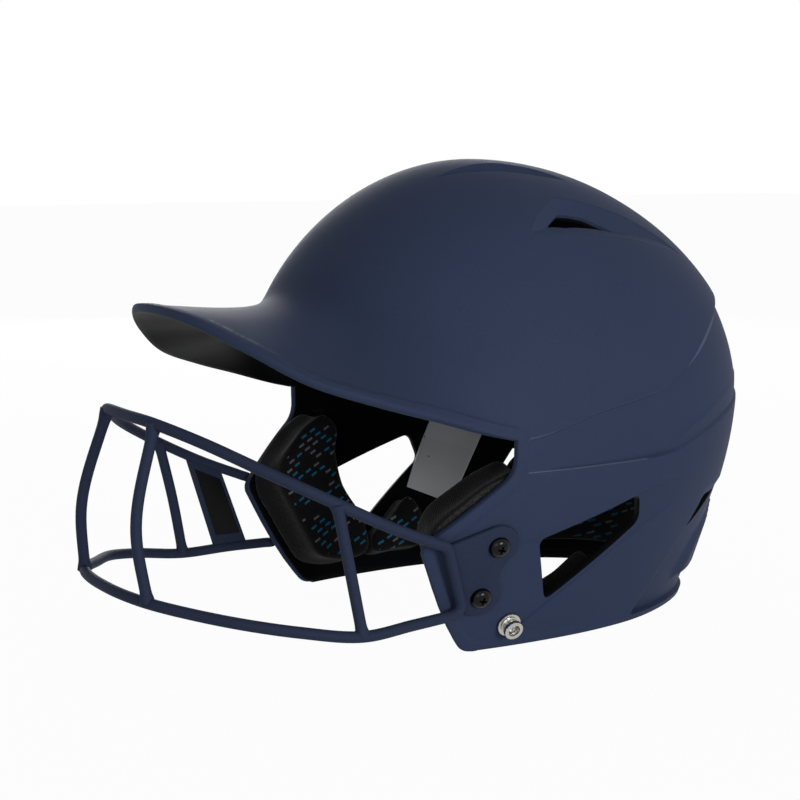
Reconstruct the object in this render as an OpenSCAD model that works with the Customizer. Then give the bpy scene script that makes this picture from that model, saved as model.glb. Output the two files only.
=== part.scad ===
// Batting helmet with a wire face guard, in millimetres.
// The helmet faces -Y, the wearer's left is +X and up is +Z. The plane x = 0 is the plane of
// symmetry, and z = 0 is the flat surface that the helmet stands on. Angles around the dome
// are measured from the front, and are positive towards the wearer's left.

/* [Shell] */
// Greatest width of the shell, over the ears
shell_width = 209; // [196:1:222]
// From the middle of the dome to the forehead
dome_front = 111.5; // [105:0.5:118]
// From the middle of the dome to the back of the head
dome_back = 145; // [136:0.5:154]
// Height of the crown above the table
crown_height = 218; // [208:1:228]
// Height at which the shell is widest
widest_z = 99.4; // [97:0.2:99.6]
// Thickness of the moulded wall
wall = 3.2; // [2.6:0.1:3.8]
// Depth of the recessed band between the dome and the lower panel
band_depth = 1.4; // [0.6:0.1:2]
// Depth of the recess at the back, behind the two side panels
nape_depth = 3.5; // [1.5:0.5:5]

/* [Visor] */
// From the middle of the dome to the front edge of the visor
visor_reach = 167; // [158:1:174]
// Height of the middle of the visor's front edge
visor_z = 155; // [150:0.5:160]

/* [Ear windows and vents] */
// Corner radius of an ear window
window_r = 3; // [1.5:0.5:4]
// Angle around the dome that the recess of a rear vent takes up
rear_vent_span = 69; // [60:1:74]
// Height of the recess of a rear vent at its highest corner
rear_vent_height = 16; // [12:0.5:18]
// Length of the recess of a crown vent
crown_vent_length = 66; // [54:1:72]
// Width of the recess of a crown vent
crown_vent_width = 14; // [10:0.5:15]
// Depth of the recesses of the vents, below the small step around them
vent_depth = 1.5; // [1:0.1:2]

/* [Face guard] */
// From the middle of the dome to the middle of the guard's front wire
guard_front = 192; // [182:1:200]
// Diameter of the guard's round wire
wire_d = 5; // [4:0.2:6]
// Thickness of a guard tab
tab_t = 2; // [1.5:0.1:2.6]
// Rim of a tab around the head of each screw
tab_rim = 5.5; // [4:0.5:6.5]
// Distance between the two screws of a tab
screw_pitch = 26; // [23:0.5:28]
// Diameter of a guard screw's shank
screw_d = 4; // [3:0.1:4.6]
// Diameter of a guard screw's head
screw_head_d = 9; // [8:0.2:10]
// Height of a guard screw's head
screw_head_h = 2.6; // [2:0.1:3.4]
// Diameter of a tee nut's flange, inside the shell
nut_flange_d = 14; // [12:0.5:16]
// Thickness of a tee nut's flange
nut_flange_t = 1.2; // [0.8:0.1:1.8]
// Width of the label plate between the guard's wires
plate_w = 16; // [12:1:20]
// Thickness of the label plate
plate_t = 2; // [1.5:0.1:2.6]

/* [Chin strap studs] */
// Diameter of a stud's flange
stud_flange_d = 11.4; // [10:0.2:13]
// Diameter of a stud's barrel
stud_barrel_d = 9; // [7:0.2:9.6]
// Height of a stud above its flange
stud_height = 4.6; // [3.5:0.1:6]
// Thickness of a stud's flange
stud_flange_t = 1.3; // [1:0.1:2]
// Diameter of the screw through a stud
stud_screw_d = 3; // [2.5:0.1:3.5]

/* [Pads] */
// Thickness of a jaw pad
jaw_pad_t = 22; // [14:1:26]
// Thickness of the pads around the head
head_pad_t = 14; // [8:1:18]
// Thickness of the two labels
label_t = 0.3; // [0.2:0.05:0.5]
// Gap that is left between parts that lie on each other
gap = 0.3; // [0.2:0.05:0.4]

/* [Hidden] */
$fn = 48;

// Colours of the paint, the bare plastic, the foam and the metal
navy = [0.18, 0.22, 0.33];
black = [0.06, 0.06, 0.07];
foam = [0.10, 0.10, 0.11];
metal = [0.72, 0.73, 0.75];
label_grey = [0.55, 0.57, 0.6];

// Angle around the dome at which the visor's edge meets the face opening
corner_a = 67;
// Exponent of the dome's outline from the side, and of its outline from above
dome_n = 1.96;
plan_n = 2.08;
// Height at which the lower walls start to turn in, and by how much per millimetre
side_turn_z = 73;
side_slope = 0.39;
side_blend = 20;
back_turn_z = 91.4;
back_slope = 0.28;
back_blend = 25;
// The cheek flaps run further forward than the forehead below these heights
flap_front = dome_front + 42.5;
flap_top_z = 154;
flap_full_z = 84;

function soft(x, w) = (x + sqrt(x * x + w * w)) / 2;
function smooth(t) = let(c = min(1, max(0, t))) c * c * (3 - 2 * c);
function mix(a, b, t) = a + (b - a) * t;
function unit(v) = v / norm(v);
function wrap(a) = a > 180 ? a - 360 : a < -180 ? a + 360 : a;

// A smooth curve through stations that are [angle, value], the same on both sides
function station(list, i) = list[min(len(list) - 1, max(0, i))];
function curve(list, a) =
    let(x = abs(a),
        i = max([0, for (k = [0 : len(list) - 2]) if (list[k][0] <= x) k]),
        p1 = station(list, i),
        p2 = station(list, i + 1),
        h = p2[0] - p1[0],
        s0 = i == 0 ? 0 : (p2[1] - station(list, i - 1)[1]) / (p2[0] - station(list, i - 1)[0]),
        s1 = i + 2 > len(list) - 1 ? (p2[1] - p1[1]) / h
            : (station(list, i + 2)[1] - p1[1]) / (station(list, i + 2)[0] - p1[0]),
        t = min(1, max(0, (x - p1[0]) / h)))
    p1[1] * (1 + 2 * t) * pow(1 - t, 2) + s0 * h * t * pow(1 - t, 2)
        + p2[1] * (3 - 2 * t) * t * t - s1 * h * (1 - t) * t * t;

// The dome's lower edge, the upper edge of the lower panel, and the visor's edge
dome_edge = [[67, 99.6], [91, 109.4], [114, 117], [122, 125], [137, 141.4], [155, 152], [180, 156]];
panel_edge = [[67, 84.4], [91, 84.5], [115, 85.2], [126, 90], [141, 97.4], [160, 104], [180, 107]];
visor_r = [
    [0, visor_reach], [10, visor_reach - 1.5], [20, visor_reach - 8], [30, 149.6],
    [40, 137.1], [50, 125.2], [60, 115.5], [67, 109.5]
];
visor_edge_z = [
    [0, visor_z], [10, visor_z - 2.6], [20, 142], [30, 128.5],
    [40, 119.3], [50, 111.5], [60, 103.8], [67, 99.6]
];
// Where the fillet between the dome and the visor starts
visor_root_z = [[0, 163], [20, 157], [40, 141], [60, 120], [67, 112]];

// Heights above the widest place are drawn for this rise of the crown, and stretch with the real one
drawn_rise = 118.6;
function raised(z) = z <= widest_z ? z
    : widest_z + (z - widest_z) * (crown_height - widest_z) / drawn_rise;
function edge_z(a) = raised(curve(dome_edge, a));
function root_z(a) = raised(curve(visor_root_z, a));

function side_half(z) = shell_width / 2 - side_slope
    * (soft(side_turn_z - min(z, widest_z), side_blend) - soft(side_turn_z - widest_z, side_blend));
function back_len(z) = dome_back - back_slope
    * (soft(back_turn_z - min(z, widest_z), back_blend) - soft(back_turn_z - widest_z, back_blend));
function front_len(z) =
    mix(dome_front, flap_front, smooth((flap_top_z - z) / (flap_top_z - flap_full_z)));
function rise(z) = z <= widest_z ? 1
    : pow(max(0, 1 - pow((z - widest_z) / (crown_height - widest_z), dome_n)), 1 / dome_n);
function wall_r(a, z) =
    let(s = rise(z),
        m = 2 + (plan_n - 2) * s * s,
        length = cos(a) > 0 ? front_len(z) : back_len(z))
    s * pow(pow(abs(sin(a)) / side_half(z), m) + pow(abs(cos(a)) / length, m), -1 / m);
// The recess behind the side panels ends at nape_top_z and gets shallower on the way up, while its
// edge moves back by nape_turn. Below nape_foot_z it comes out again as a bead. The raised panel
// in its middle starts nape_inset further back.
nape_a = 119.5;
nape_turn = 18;
nape_inset = 16;
nape_foot_z = 5;
nape_top_z = 62;
panel_foot_z = 13;
panel_top_z = 50;
panel_share = 1.05;
nape_lean = 0.65;
function nape(a, z) =
    let(back = abs(a) - nape_a - nape_turn * z / nape_top_z,
        foot = 0.6 + 0.4 * smooth((z - nape_foot_z) / 3),
        behind = smooth(back / 4) * smooth((nape_top_z - z) / 6) * foot,
        middle = smooth((back - nape_inset) / 6)
            * smooth((panel_top_z - z) / 5) * smooth((z - panel_foot_z) / 5))
    nape_depth * (1 - nape_lean * z / nape_top_z) * (panel_share * middle - behind);
function dome_point(a, z, out = 0) =
    let(r = wall_r(a, z) + out) [r * sin(a), head_y - r * cos(a), z];
function wall_point(a, z, out = 0) = dome_point(a, z, out + nape(wrap(a), z));
function wall_normal(a, z) =
    unit(cross(dome_point(a + 1, z) - dome_point(a - 1, z),
               dome_point(a, z + 0.5) - dome_point(a, z - 0.5)));
// A point on the inner side of the wall, or further in by depth
function lining_point(a, z, depth) = dome_point(a, z) - (wall + depth) * wall_normal(a, z);
// The crown from above, as x and y from the middle of the dome, and its lining
function crown_point(x, y, out = 0) =
    let(s = norm([x / side_half(widest_z), y / (y < 0 ? dome_front : dome_back)]),
        z = widest_z + (crown_height - widest_z) * pow(1 - pow(s, dome_n), 1 / dome_n))
    [x, head_y + y, z + out];
function crown_normal(x, y) =
    unit(cross(crown_point(x + 1, y) - crown_point(x - 1, y),
               crown_point(x, y + 1) - crown_point(x, y - 1)));
function crown_lining(x, y, depth) = crown_point(x, y) - (wall + depth) * crown_normal(x, y);

// The upper shell: t runs from the crown, 0, to the dome's edge or the visor's edge, 1
function turn(z) = acos(pow(max(0, (z - widest_z) / (crown_height - widest_z)), dome_n / 2));
// Towards the back the dome swells over the band, most at its edge
edge_swell = 2.4;
swell_top_z = raised(198);
swell_full_z = raised(156);
function swell(a, z) = edge_swell * smooth((abs(a) - 105) / 40)
    * max(0, min(1, (swell_top_z - z) / (swell_top_z - swell_full_z)));
function dome_at(a, f) =
    let(z = widest_z + (crown_height - widest_z) * pow(max(0, cos(f)), 2 / dome_n))
    dome_point(a, z, swell(a, z));
function root_t(a) = 0.6 + 0.32 * pow(abs(a) / corner_a, 1.5);
function visor_at(a, t) =
    let(root = turn(root_z(a)),
        p0 = dome_at(a, root),
        tangent = unit(p0 - dome_at(a, root - 1)),
        r = curve(visor_r, a),
        p3 = [r * sin(a), head_y - r * cos(a), curve(visor_edge_z, a)],
        dip = 85 * pow(abs(a) / corner_a, 2.4),
        outward = [cos(dip) * sin(a), -cos(dip) * cos(a), -sin(dip)],
        reach = norm(p3 - p0) * 0.42)
    pow(1 - t, 3) * p0 + 3 * t * pow(1 - t, 2) * (p0 + reach * tangent)
        + 3 * t * t * (1 - t) * (p3 - reach * outward) + t * t * t * p3;
function upper(a, t) =
    let(w = wrap(a), k = root_t(w))
    abs(w) >= corner_a ? dome_at(w, turn(edge_z(w)) * t)
        : t <= k ? dome_at(w, turn(root_z(w)) * t / k)
        : visor_at(w, (t - k) / (1 - k));
function upper_normal(a, t) =
    let(t0 = max(0.02, t - 0.02), t1 = min(1, t + 0.02))
    unit(cross(upper(a, t1) - upper(a, t0), upper(a + 0.7, t) - upper(a - 0.7, t)));

// Numbers of columns in front and behind, and of rows above and below
front_cols = 24;
rear_cols = 40;
cols = front_cols + rear_cols;
top_rows = 16;
band_rows = 6;
low_rows = 8;
flap_cols = 4;
function col_a(i) = i <= front_cols ? corner_a * (2 * i / front_cols - 1)
    : corner_a + (360 - 2 * corner_a) * (i - front_cols) / rear_cols;

// The front outline of a cheek flap, as [angle, height] from the brow down to the table
flap_outline = [
    [46.2, 53.5], [45.8, 51], [46.5, 44], [47.6, 34], [48.9, 24],
    [50.7, 14], [52.3, 6.5], [53.4, 2.5], [56, 0]
];
// Rows below the dome's edge: the recessed band, then the lower panel
function low_z(a, j) =
    let(top = edge_z(a), low = curve(panel_edge, a))
    j < band_rows ? mix(top - 2.5, low + 3.5, (j - 1) / (band_rows - 2))
        : low * (1 - (j - band_rows) / low_rows);

// Middle of the dome, so that the origin is below the middle of the whole helmet
rear_reach = max([for (j = [band_rows : band_rows + low_rows]) wall_r(180, low_z(180, j))]);
head_y = (guard_front + wire_d / 2 - rear_reach) / 2;

function low_point(a, j) =
    let(w = wrap(a),
        fade = smooth((abs(w) - corner_a) / 14) * (1 - smooth((abs(w) - 110) / 25)))
    wall_point(w, low_z(w, j), j < band_rows ? -band_depth * fade : 0);
// The flap's front block, s from the corner column, 0, to the outline, 1
function flap_uv(s, j) =
    let(t = j / low_rows,
        b = panel_edge[0],
        c = flap_outline[0],
        foot = flap_outline[low_rows],
        back = [corner_a, b[1] * (1 - t)],
        top = b + s * (c - b),
        base = [corner_a + s * (foot[0] - corner_a), 0])
    (1 - s) * back + s * flap_outline[j] + (1 - t) * top + t * base
        - ((1 - s) * (1 - t) * b + s * (1 - t) * c + (1 - s) * t * [corner_a, 0] + s * t * foot);
function flap_point(side, s, j) = let(p = flap_uv(s, j)) dome_point(side * p[0], p[1]);
function flap_normal(side, s, j) = let(p = flap_uv(s, j)) wall_normal(side * p[0], p[1]);

// Outer points and their normals, in the order of the blocks
skin = [
    [0, head_y, crown_height],
    for (j = [1 : top_rows]) for (i = [0 : cols - 1]) upper(col_a(i), j / top_rows),
    for (j = [1 : band_rows + low_rows]) for (k = [0 : rear_cols]) low_point(col_a(front_cols + k), j),
    for (side = [1, -1]) for (j = [0 : low_rows]) for (s = [1 : flap_cols])
        flap_point(side, s / flap_cols, j)
];
normals = [
    [0, 0, 1],
    for (j = [1 : top_rows]) for (i = [0 : cols - 1]) upper_normal(col_a(i), j / top_rows),
    for (j = [1 : band_rows + low_rows]) for (k = [0 : rear_cols])
        let(a = wrap(col_a(front_cols + k))) wall_normal(a, max(0.6, low_z(a, j))),
    for (side = [1, -1]) for (j = [0 : low_rows]) for (s = [1 : flap_cols])
        flap_normal(side, s / flap_cols, j)
];
function up_i(i, j) = j == 0 ? 0 : 1 + (j - 1) * cols + i % cols;
// Rows from 0 on the dome's edge down to the table, columns from the left corner backwards
function low_i(k, j) = j == 0 ? up_i(front_cols + k, top_rows)
    : 1 + top_rows * cols + (j - 1) * (rear_cols + 1) + k;
flap_base = 1 + top_rows * cols + (band_rows + low_rows) * (rear_cols + 1);
function flap_i(side, s, j) =
    s == 0 ? low_i(side > 0 ? 0 : rear_cols, j + band_rows)
        : flap_base + (side > 0 ? 0 : (low_rows + 1) * flap_cols) + j * flap_cols + s - 1;
function quad(a, b, c, d) = [[a, b, c], [a, c, d]];
function flip(f) = [f[2], f[1], f[0]];

outer_faces = [
    for (i = [0 : cols - 1]) [0, up_i(i, 1), up_i(i + 1, 1)],
    for (j = [1 : top_rows - 1]) for (i = [0 : cols - 1])
        each quad(up_i(i, j), up_i(i, j + 1), up_i(i + 1, j + 1), up_i(i + 1, j)),
    for (j = [0 : band_rows + low_rows - 1]) for (k = [0 : rear_cols - 1])
        each quad(low_i(k, j), low_i(k, j + 1), low_i(k + 1, j + 1), low_i(k + 1, j)),
    for (j = [0 : low_rows - 1]) for (s = [0 : flap_cols - 1])
        each quad(flap_i(1, s + 1, j), flap_i(1, s + 1, j + 1), flap_i(1, s, j + 1), flap_i(1, s, j)),
    for (j = [0 : low_rows - 1]) for (s = [0 : flap_cols - 1])
        each quad(flap_i(-1, s, j), flap_i(-1, s, j + 1), flap_i(-1, s + 1, j + 1), flap_i(-1, s + 1, j))
];
// The closed edge of the shell, walked once around
edge_walk = [
    for (i = [0 : front_cols]) up_i(i, top_rows),
    for (j = [1 : band_rows]) low_i(0, j),
    for (s = [1 : flap_cols]) flap_i(1, s, 0),
    for (j = [1 : low_rows]) flap_i(1, flap_cols, j),
    for (s = [flap_cols - 1 : -1 : 1]) flap_i(1, s, low_rows),
    for (k = [0 : rear_cols]) low_i(k, band_rows + low_rows),
    for (s = [1 : flap_cols]) flap_i(-1, s, low_rows),
    for (j = [low_rows - 1 : -1 : 0]) flap_i(-1, flap_cols, j),
    for (s = [flap_cols - 1 : -1 : 1]) flap_i(-1, s, 0),
    for (j = [band_rows : -1 : 1]) low_i(rear_cols, j)
];

// Inner points stay above the table, where the turned-in wall would dip below it
function inset(p, n) = let(q = p - wall * n) [q[0], q[1], p[2] <= 0.01 ? 0 : q[2]];

module shell_wall() {
    count = len(skin);
    n = len(edge_walk);
    polyhedron(
        points = concat(skin, [for (i = [0 : count - 1]) inset(skin[i], normals[i])]),
        faces = concat(
            [for (f = outer_faces) flip(f)],
            [for (f = outer_faces) [for (v = f) v + count]],
            [for (i = [0 : n - 1])
                let(a = edge_walk[i], b = edge_walk[(i + 1) % n])
                each quad(a, b, b + count, a + count)]),
        convexity = 8);
}

// Places a child's +Z along a direction, at a point
module aim(p, n) {
    translate(p) rotate([0, acos(n[2]), atan2(n[1], n[0])]) children();
}
module mirrored() {
    children();
    mirror([1, 0, 0]) children();
}

// A closed solid through rings of points, whose ends are flat unless it runs round
function ring_faces(n, m, closed) =
    [for (i = [0 : n - (closed ? 1 : 2)]) for (k = [0 : m - 1])
        each quad(i * m + k, i * m + (k + 1) % m, (i + 1) % n * m + (k + 1) % m, (i + 1) % n * m + k)];
module loft(rings, closed = false) {
    n = len(rings);
    m = len(rings[0]);
    ends = closed ? [] : [[for (k = [m - 1 : -1 : 0]) k], [for (k = [0 : m - 1]) (n - 1) * m + k]];
    polyhedron([for (r = rings) each r], concat(ring_faces(n, m, closed), ends), convexity = 6);
}

// Corners of the ear window from the side, as [y from the middle of the dome, z]
window_corners = [[-26.3, 52.3], [27.8, 68], [31.2, 54.6], [-15.1, 21]];
module window_cutter() {
    // One prism cuts both sides, with its corners drawn in to round them
    drawn_in = window_r * 1.3;
    centre = (window_corners[0] + window_corners[1] + window_corners[2] + window_corners[3]) / 4;
    translate([-shell_width, 0, 0]) rotate([90, 0, 90]) linear_extrude(2 * shell_width)
        hull() for (c = window_corners) {
            inward = unit(centre - c);
            translate(c + inward * drawn_in + [head_y, 0]) circle(window_r);
        }
}

// A vent is a recess with a slot in its floor. Each station, from its front to its rear, is
// [upper edge, upper side of the slot, lower side of the slot, lower edge, share of the depth].
// A rear vent's places are [angle, height above the lower edge at rear_vent_z], and a crown
// vent's are [y, distance outwards from the inner edge at crown_vent_x].
rear_vent_z = 184.5;
rear_vent_a = 112;
rear_stations = [
    [[77.7, 0.6], [77.7, 0.4], [77.7, 0.2], [77.7, 0], 0.05],
    [[88, 7], [86.4, 3.3], [87, 2.9], [87.5, 0.2], 0.9],
    [[104, 16], [95, 8.6], [97, 2.6], [97.5, 0], 1.1],
    [[113, 14], [103.6, 7.9], [104, 2.3], [104.5, -0.2], 1.1],
    [[124.5, 11], [116.5, 0], [116.5, -0.6], [116.5, -1.6], 1],
    [[133, 5.3], [125, -2.4], [124.8, -2.9], [124.5, -3.4], 0.75],
    [[139.4, -1], [135, -6.6], [134.6, -7.1], [134, -7.6], 0.4],
    [[146.6, -12.2], [146.6, -12.4], [146.6, -12.6], [146.6, -12.8], 0.05]
];
crown_vent_x = 14;
crown_vent_y = 0;
crown_stations = [
    [[-33, 5.2], [-33, 5.4], [-33, 5.6], [-33, 5.8], 0.05],
    [[-21, 2], [-20, 5.5], [-19, 7], [-22, 9.5], 0.8],
    [[-6, 0.4], [-6, 4.6], [-6, 9], [-8, 13.4], 1],
    [[7, 2.8], [7, 7], [6, 11], [5, 15.6], 1],
    [[20, 9.8], [18, 13], [17, 14], [18, 18], 0.7],
    [[33, 19.6], [33, 19.8], [33, 20], [33, 20.2], 0.05]
];
// The places are drawn for these sizes, and stretch with the real ones
drawn_rear_vent = [69, 16];
drawn_crown_vent = [66, 14];
function rear_place(p, out) =
    let(span = rear_vent_span / drawn_rear_vent[0], tall = rear_vent_height / drawn_rear_vent[1])
    dome_point(rear_vent_a + (p[0] - rear_vent_a) * span,
               raised(rear_vent_z + p[1] * (p[1] > 0 ? tall : span)), out);
function crown_place(p, out) =
    crown_point(crown_vent_x + p[1] * crown_vent_width / drawn_crown_vent[1],
                crown_vent_y + p[0] * crown_vent_length / drawn_crown_vent[0], out);
// Cut above the skin, down a small step to the floor of the recess, and through the slot
vent_step = 0.5;
function recess_ring(s, place) = [
    place(s[0], 3), place(s[0], -vent_step), place(s[1], -vent_depth * s[4] - vent_step),
    place(s[2], -vent_depth * s[4] - vent_step), place(s[3], -vent_step), place(s[3], 3)
];
function slot_ring(s, place) = [
    place(s[1], 1), place(s[1], -wall * 1.8), place(s[2], -wall * 1.8), place(s[2], 1)
];
module vent_cutter(stations, place, slot) {
    loft([for (s = stations) recess_ring(s, place)]);
    loft([for (i = slot) slot_ring(stations[i], place)]);
}

// A guard tab lies flat on the flap. Its frame has its origin between the two screws, one axis
// backwards, one up along the flap and turned back, and one out of the wall.
tab_a = 60.8;
tab_z = 40.85;
tab_turn = 11;
tab_origin = wall_point(tab_a, tab_z);
tab_n = wall_normal(tab_a, tab_z);
slope = unit([0, 0, 1] - tab_n * tab_n[2]);
level = cross(slope, tab_n);
tab_v = level * cos(tab_turn) - slope * sin(tab_turn);
tab_u = slope * cos(tab_turn) + level * sin(tab_turn);
function tab_at(v, u, h) = tab_origin + v * tab_v + u * tab_u + h * tab_n;
module on_tab() {
    multmatrix([for (i = [0 : 2]) [tab_v[i], tab_u[i], tab_n[i], tab_origin[i]]]) children();
}
screws_u = [screw_pitch / 2, -screw_pitch / 2];
lobe_r = screw_head_d / 2 + tab_rim;

// The guard's hoop, from its top middle down the wearer's left side to its bottom middle. The
// rear stations are [backwards, up, height off the flap] in the frame of the tab. The others
// are [x, y from the middle of the dome, z], drawn for the guard_front and the tab origin that
// drawn_for holds, and they stretch with the real ones.
drawn_for = [88.05, -49.15, 192, 2.5];
hoop_top = [
    [0, -179.8, 108.6], [25.2, -177.5, 107.8], [48, -166.5, 102], [72, -149.8, 92],
    [88.4, -125, 78.6], [91.5, -100, 66]
];
hoop_rear = [
    [-31.4, 10.9, 0.4], [-22, 5.4, 0.2], [-17, -1.2, 0], [-10.4, -13.4, 0],
    [-9.6, -18.8, 0.4], [-14.3, -21.9, 2.8]
];
hoop_low = [
    [86.8, -87, 21.2], [88.5, -113, 20.6], [83, -140, 25.2], [73, -158, 28.5],
    [56, -172.5, 30.7], [35, -186.5, 33.4], [16, -191.2, 34.2], [0, -192, 34.3]
];
center_bar_middle = [30.6, -189.1, 62.9];
side_bar_middle = [87.6, -118.5, 49.5];
function guard_place(p) =
    let(tab_y = tab_origin[1] - head_y,
        across = (tab_origin[0] + wire_d / 2) / (drawn_for[0] + drawn_for[3]),
        along = (guard_front + tab_y) / (drawn_for[2] + drawn_for[1]))
    [p[0] * across, tab_origin[1] + (p[1] - drawn_for[1]) * along, p[2]];
hoop_left = concat(
    [for (p = hoop_top) guard_place(p)],
    [for (p = hoop_rear) tab_at(p[0], p[1], p[2] + gap + wire_d / 2)],
    [for (p = hoop_low) guard_place(p)]);
last = len(hoop_left) - 1;
hoop_knots = concat(hoop_left, [for (i = [last - 1 : -1 : 1]) let(p = hoop_left[i]) [-p[0], p[1], p[2]]]);

// A smooth line through knots, with slopes that suit the distances between them
function knot_slope(p0, p1, p2) =
    let(h0 = norm(p1 - p0), h1 = norm(p2 - p1))
    ((p1 - p0) * h1 / h0 + (p2 - p1) * h0 / h1) / (h0 + h1);
function hermite(p1, p2, s1, s2, t) =
    let(h = norm(p2 - p1))
    p1 * (1 + 2 * t) * pow(1 - t, 2) + s1 * h * t * pow(1 - t, 2)
        + p2 * (3 - 2 * t) * t * t - s2 * h * (1 - t) * t * t;
function closed_line(knots, steps) =
    let(n = len(knots))
    [for (i = [0 : n - 1])
        let(p0 = knots[(i + n - 1) % n], p1 = knots[i], p2 = knots[(i + 1) % n], p3 = knots[(i + 2) % n])
        for (k = [0 : steps - 1])
            hermite(p1, p2, knot_slope(p0, p1, p2), knot_slope(p1, p2, p3), k / steps)];
hoop_steps = 3;
hoop_path = closed_line(hoop_knots, hoop_steps);
function hoop_at(knot) = hoop_path[knot * hoop_steps];
function hoop_run(knot) = unit(hoop_path[knot * hoop_steps + 1] - hoop_path[knot * hoop_steps - 1]);

// Round wire along a line of points, with its sides lined up on the middle of the guard
wire_sides = 12;
guard_middle = guard_place([0, -120, 55]);
function wire_rings(path, d, closed) =
    let(n = len(path))
    [for (i = [0 : n - 1])
        let(before = path[closed ? (i + n - 1) % n : max(0, i - 1)],
            after = path[closed ? (i + 1) % n : min(n - 1, i + 1)],
            run = unit(after - before),
            e1 = unit(cross(run, path[i] - guard_middle)),
            e2 = cross(e1, run))
        [for (k = [0 : wire_sides - 1])
            path[i] + d / 2 * (cos(360 * k / wire_sides) * e1 + sin(360 * k / wire_sides) * e2)]];
// Room for the hoop in a piece that is welded to it
weld = 0.1;
module hoop_room(first, past) {
    loft(wire_rings([for (i = [first : past]) hoop_path[i]], wire_d + 2 * weld, false));
}

module on_side(side) {
    if (side < 0) mirror([1, 0, 0]) children();
    else children();
}

module shell() {
    color(navy) difference() {
        shell_wall();
        window_cutter();
        mirrored() {
            vent_cutter(rear_stations, function(p, out) rear_place(p, out), [1 : 4]);
            vent_cutter(crown_stations, function(p, out) crown_place(p, out), [1 : 4]);
            on_tab() for (u = screws_u) translate([0, u, -2 * wall])
                cylinder(d = nut_barrel_d + 2 * bore_gap, h = 4 * wall);
            aim(stud_point, stud_n) translate([0, 0, -2 * wall])
                cylinder(d = stud_screw_d + 2 * bore_gap, h = 4 * wall);
        }
    }
}

module guard_hoop() {
    color(navy) loft(wire_rings(hoop_path, wire_d, true), closed = true);
}

// A bar between two knots of the hoop, with its ends coped to the wire
module guard_bar(side, top, middle, bottom) {
    ends = [hoop_at(top), hoop_at(bottom)];
    path = [
        for (k = [0 : 4]) hermite(ends[0], middle, knot_slope(2 * ends[0] - middle, ends[0], middle),
                                  knot_slope(ends[0], middle, ends[1]), k / 5),
        for (k = [0 : 5]) hermite(middle, ends[1], knot_slope(ends[0], middle, ends[1]),
                                  knot_slope(middle, ends[1], 2 * ends[1] - middle), k / 5)
    ];
    color(navy) on_side(side) difference() {
        loft(wire_rings(path, wire_d, false));
        for (knot = [top, bottom]) aim(hoop_at(knot), hoop_run(knot))
            cylinder(d = wire_d + 2 * weld, h = 6 * wire_d, center = true);
    }
}
module guard_center_bar(side) {
    guard_bar(side, 1, guard_place(center_bar_middle), last - 2);
}
module guard_side_bar(side) {
    guard_bar(side, 4, guard_place(side_bar_middle), 13);
}

// Where a line from the lobe's edge through a point touches the lobe
function touch(centre, r, p, side) =
    let(d = p - centre, a = atan2(d[1], d[0]) + side * acos(r / norm(d)))
    centre + r * [cos(a), sin(a)];
module guard_tab(side) {
    waist_r = 12;
    waist_v = sqrt(pow(waist_r + lobe_r, 2) - pow(screw_pitch / 2, 2));
    share = lobe_r / (waist_r + lobe_r);
    upper_front = [-20, 9.4];
    lower_front = [-7.4, -21.4];
    color(navy) on_side(side) difference() {
        on_tab() translate([0, 0, gap]) difference() {
            union() {
                for (u = screws_u) translate([0, u, 0]) cylinder(r = lobe_r, h = tab_t);
                linear_extrude(tab_t) polygon([
                    upper_front, touch([0, screws_u[0]], lobe_r, upper_front, -1), [0, screws_u[0]],
                    share * [waist_v, 0] + (1 - share) * [0, screws_u[0]],
                    share * [waist_v, 0] + (1 - share) * [0, screws_u[1]],
                    [0, screws_u[1]], touch([0, screws_u[1]], lobe_r, lower_front, 1), lower_front
                ]);
            }
            translate([waist_v, 0, -tab_t]) cylinder(r = waist_r, h = 3 * tab_t);
            for (u = screws_u) translate([0, u, -tab_t])
                cylinder(d = screw_d + 2 * bore_gap, h = 3 * tab_t);
        }
        hoop_room(6 * hoop_steps, 12 * hoop_steps);
    }
}

// Screw heads are domed and have a cross recess
bore_gap = 0.2;
recess_d = 0.55;
module pan_screw(d, head_d, head_h, length) {
    difference() {
        rotate_extrude() polygon([
            [0, -length], [d / 2 - 0.4, -length], [d / 2, 0.4 - length], [d / 2, 0], [head_d / 2, 0],
            [head_d / 2, head_h * 0.4], [head_d * 0.44, head_h * 0.72], [head_d * 0.3, head_h * 0.93],
            [0, head_h]
        ]);
        for (turn = [0, 90]) rotate([0, 0, turn])
            translate([-head_d * recess_d / 2, -head_d * 0.06, head_h * 0.45])
                cube([head_d * recess_d, head_d * 0.12, head_h]);
    }
}
nut_barrel_d = screw_d + 2.3;
nut_top = -(wall + 2 * gap);
module guard_screws() {
    length = gap + tab_t - nut_top + nut_flange_t + 1;
    color(black) mirrored() on_tab() for (u = screws_u)
        translate([0, u, gap + tab_t]) pan_screw(screw_d, screw_head_d, screw_head_h, length);
}
module guard_tee_nuts() {
    color(metal) mirrored() on_tab() for (u = screws_u) translate([0, u, nut_top]) difference() {
        union() {
            translate([0, 0, -nut_flange_t]) cylinder(d = nut_flange_d, h = nut_flange_t);
            cylinder(d = nut_barrel_d, h = wall * 0.9);
        }
        translate([0, 0, -wall]) cylinder(d = screw_d + 0.1, h = 3 * wall);
    }
}

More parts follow.
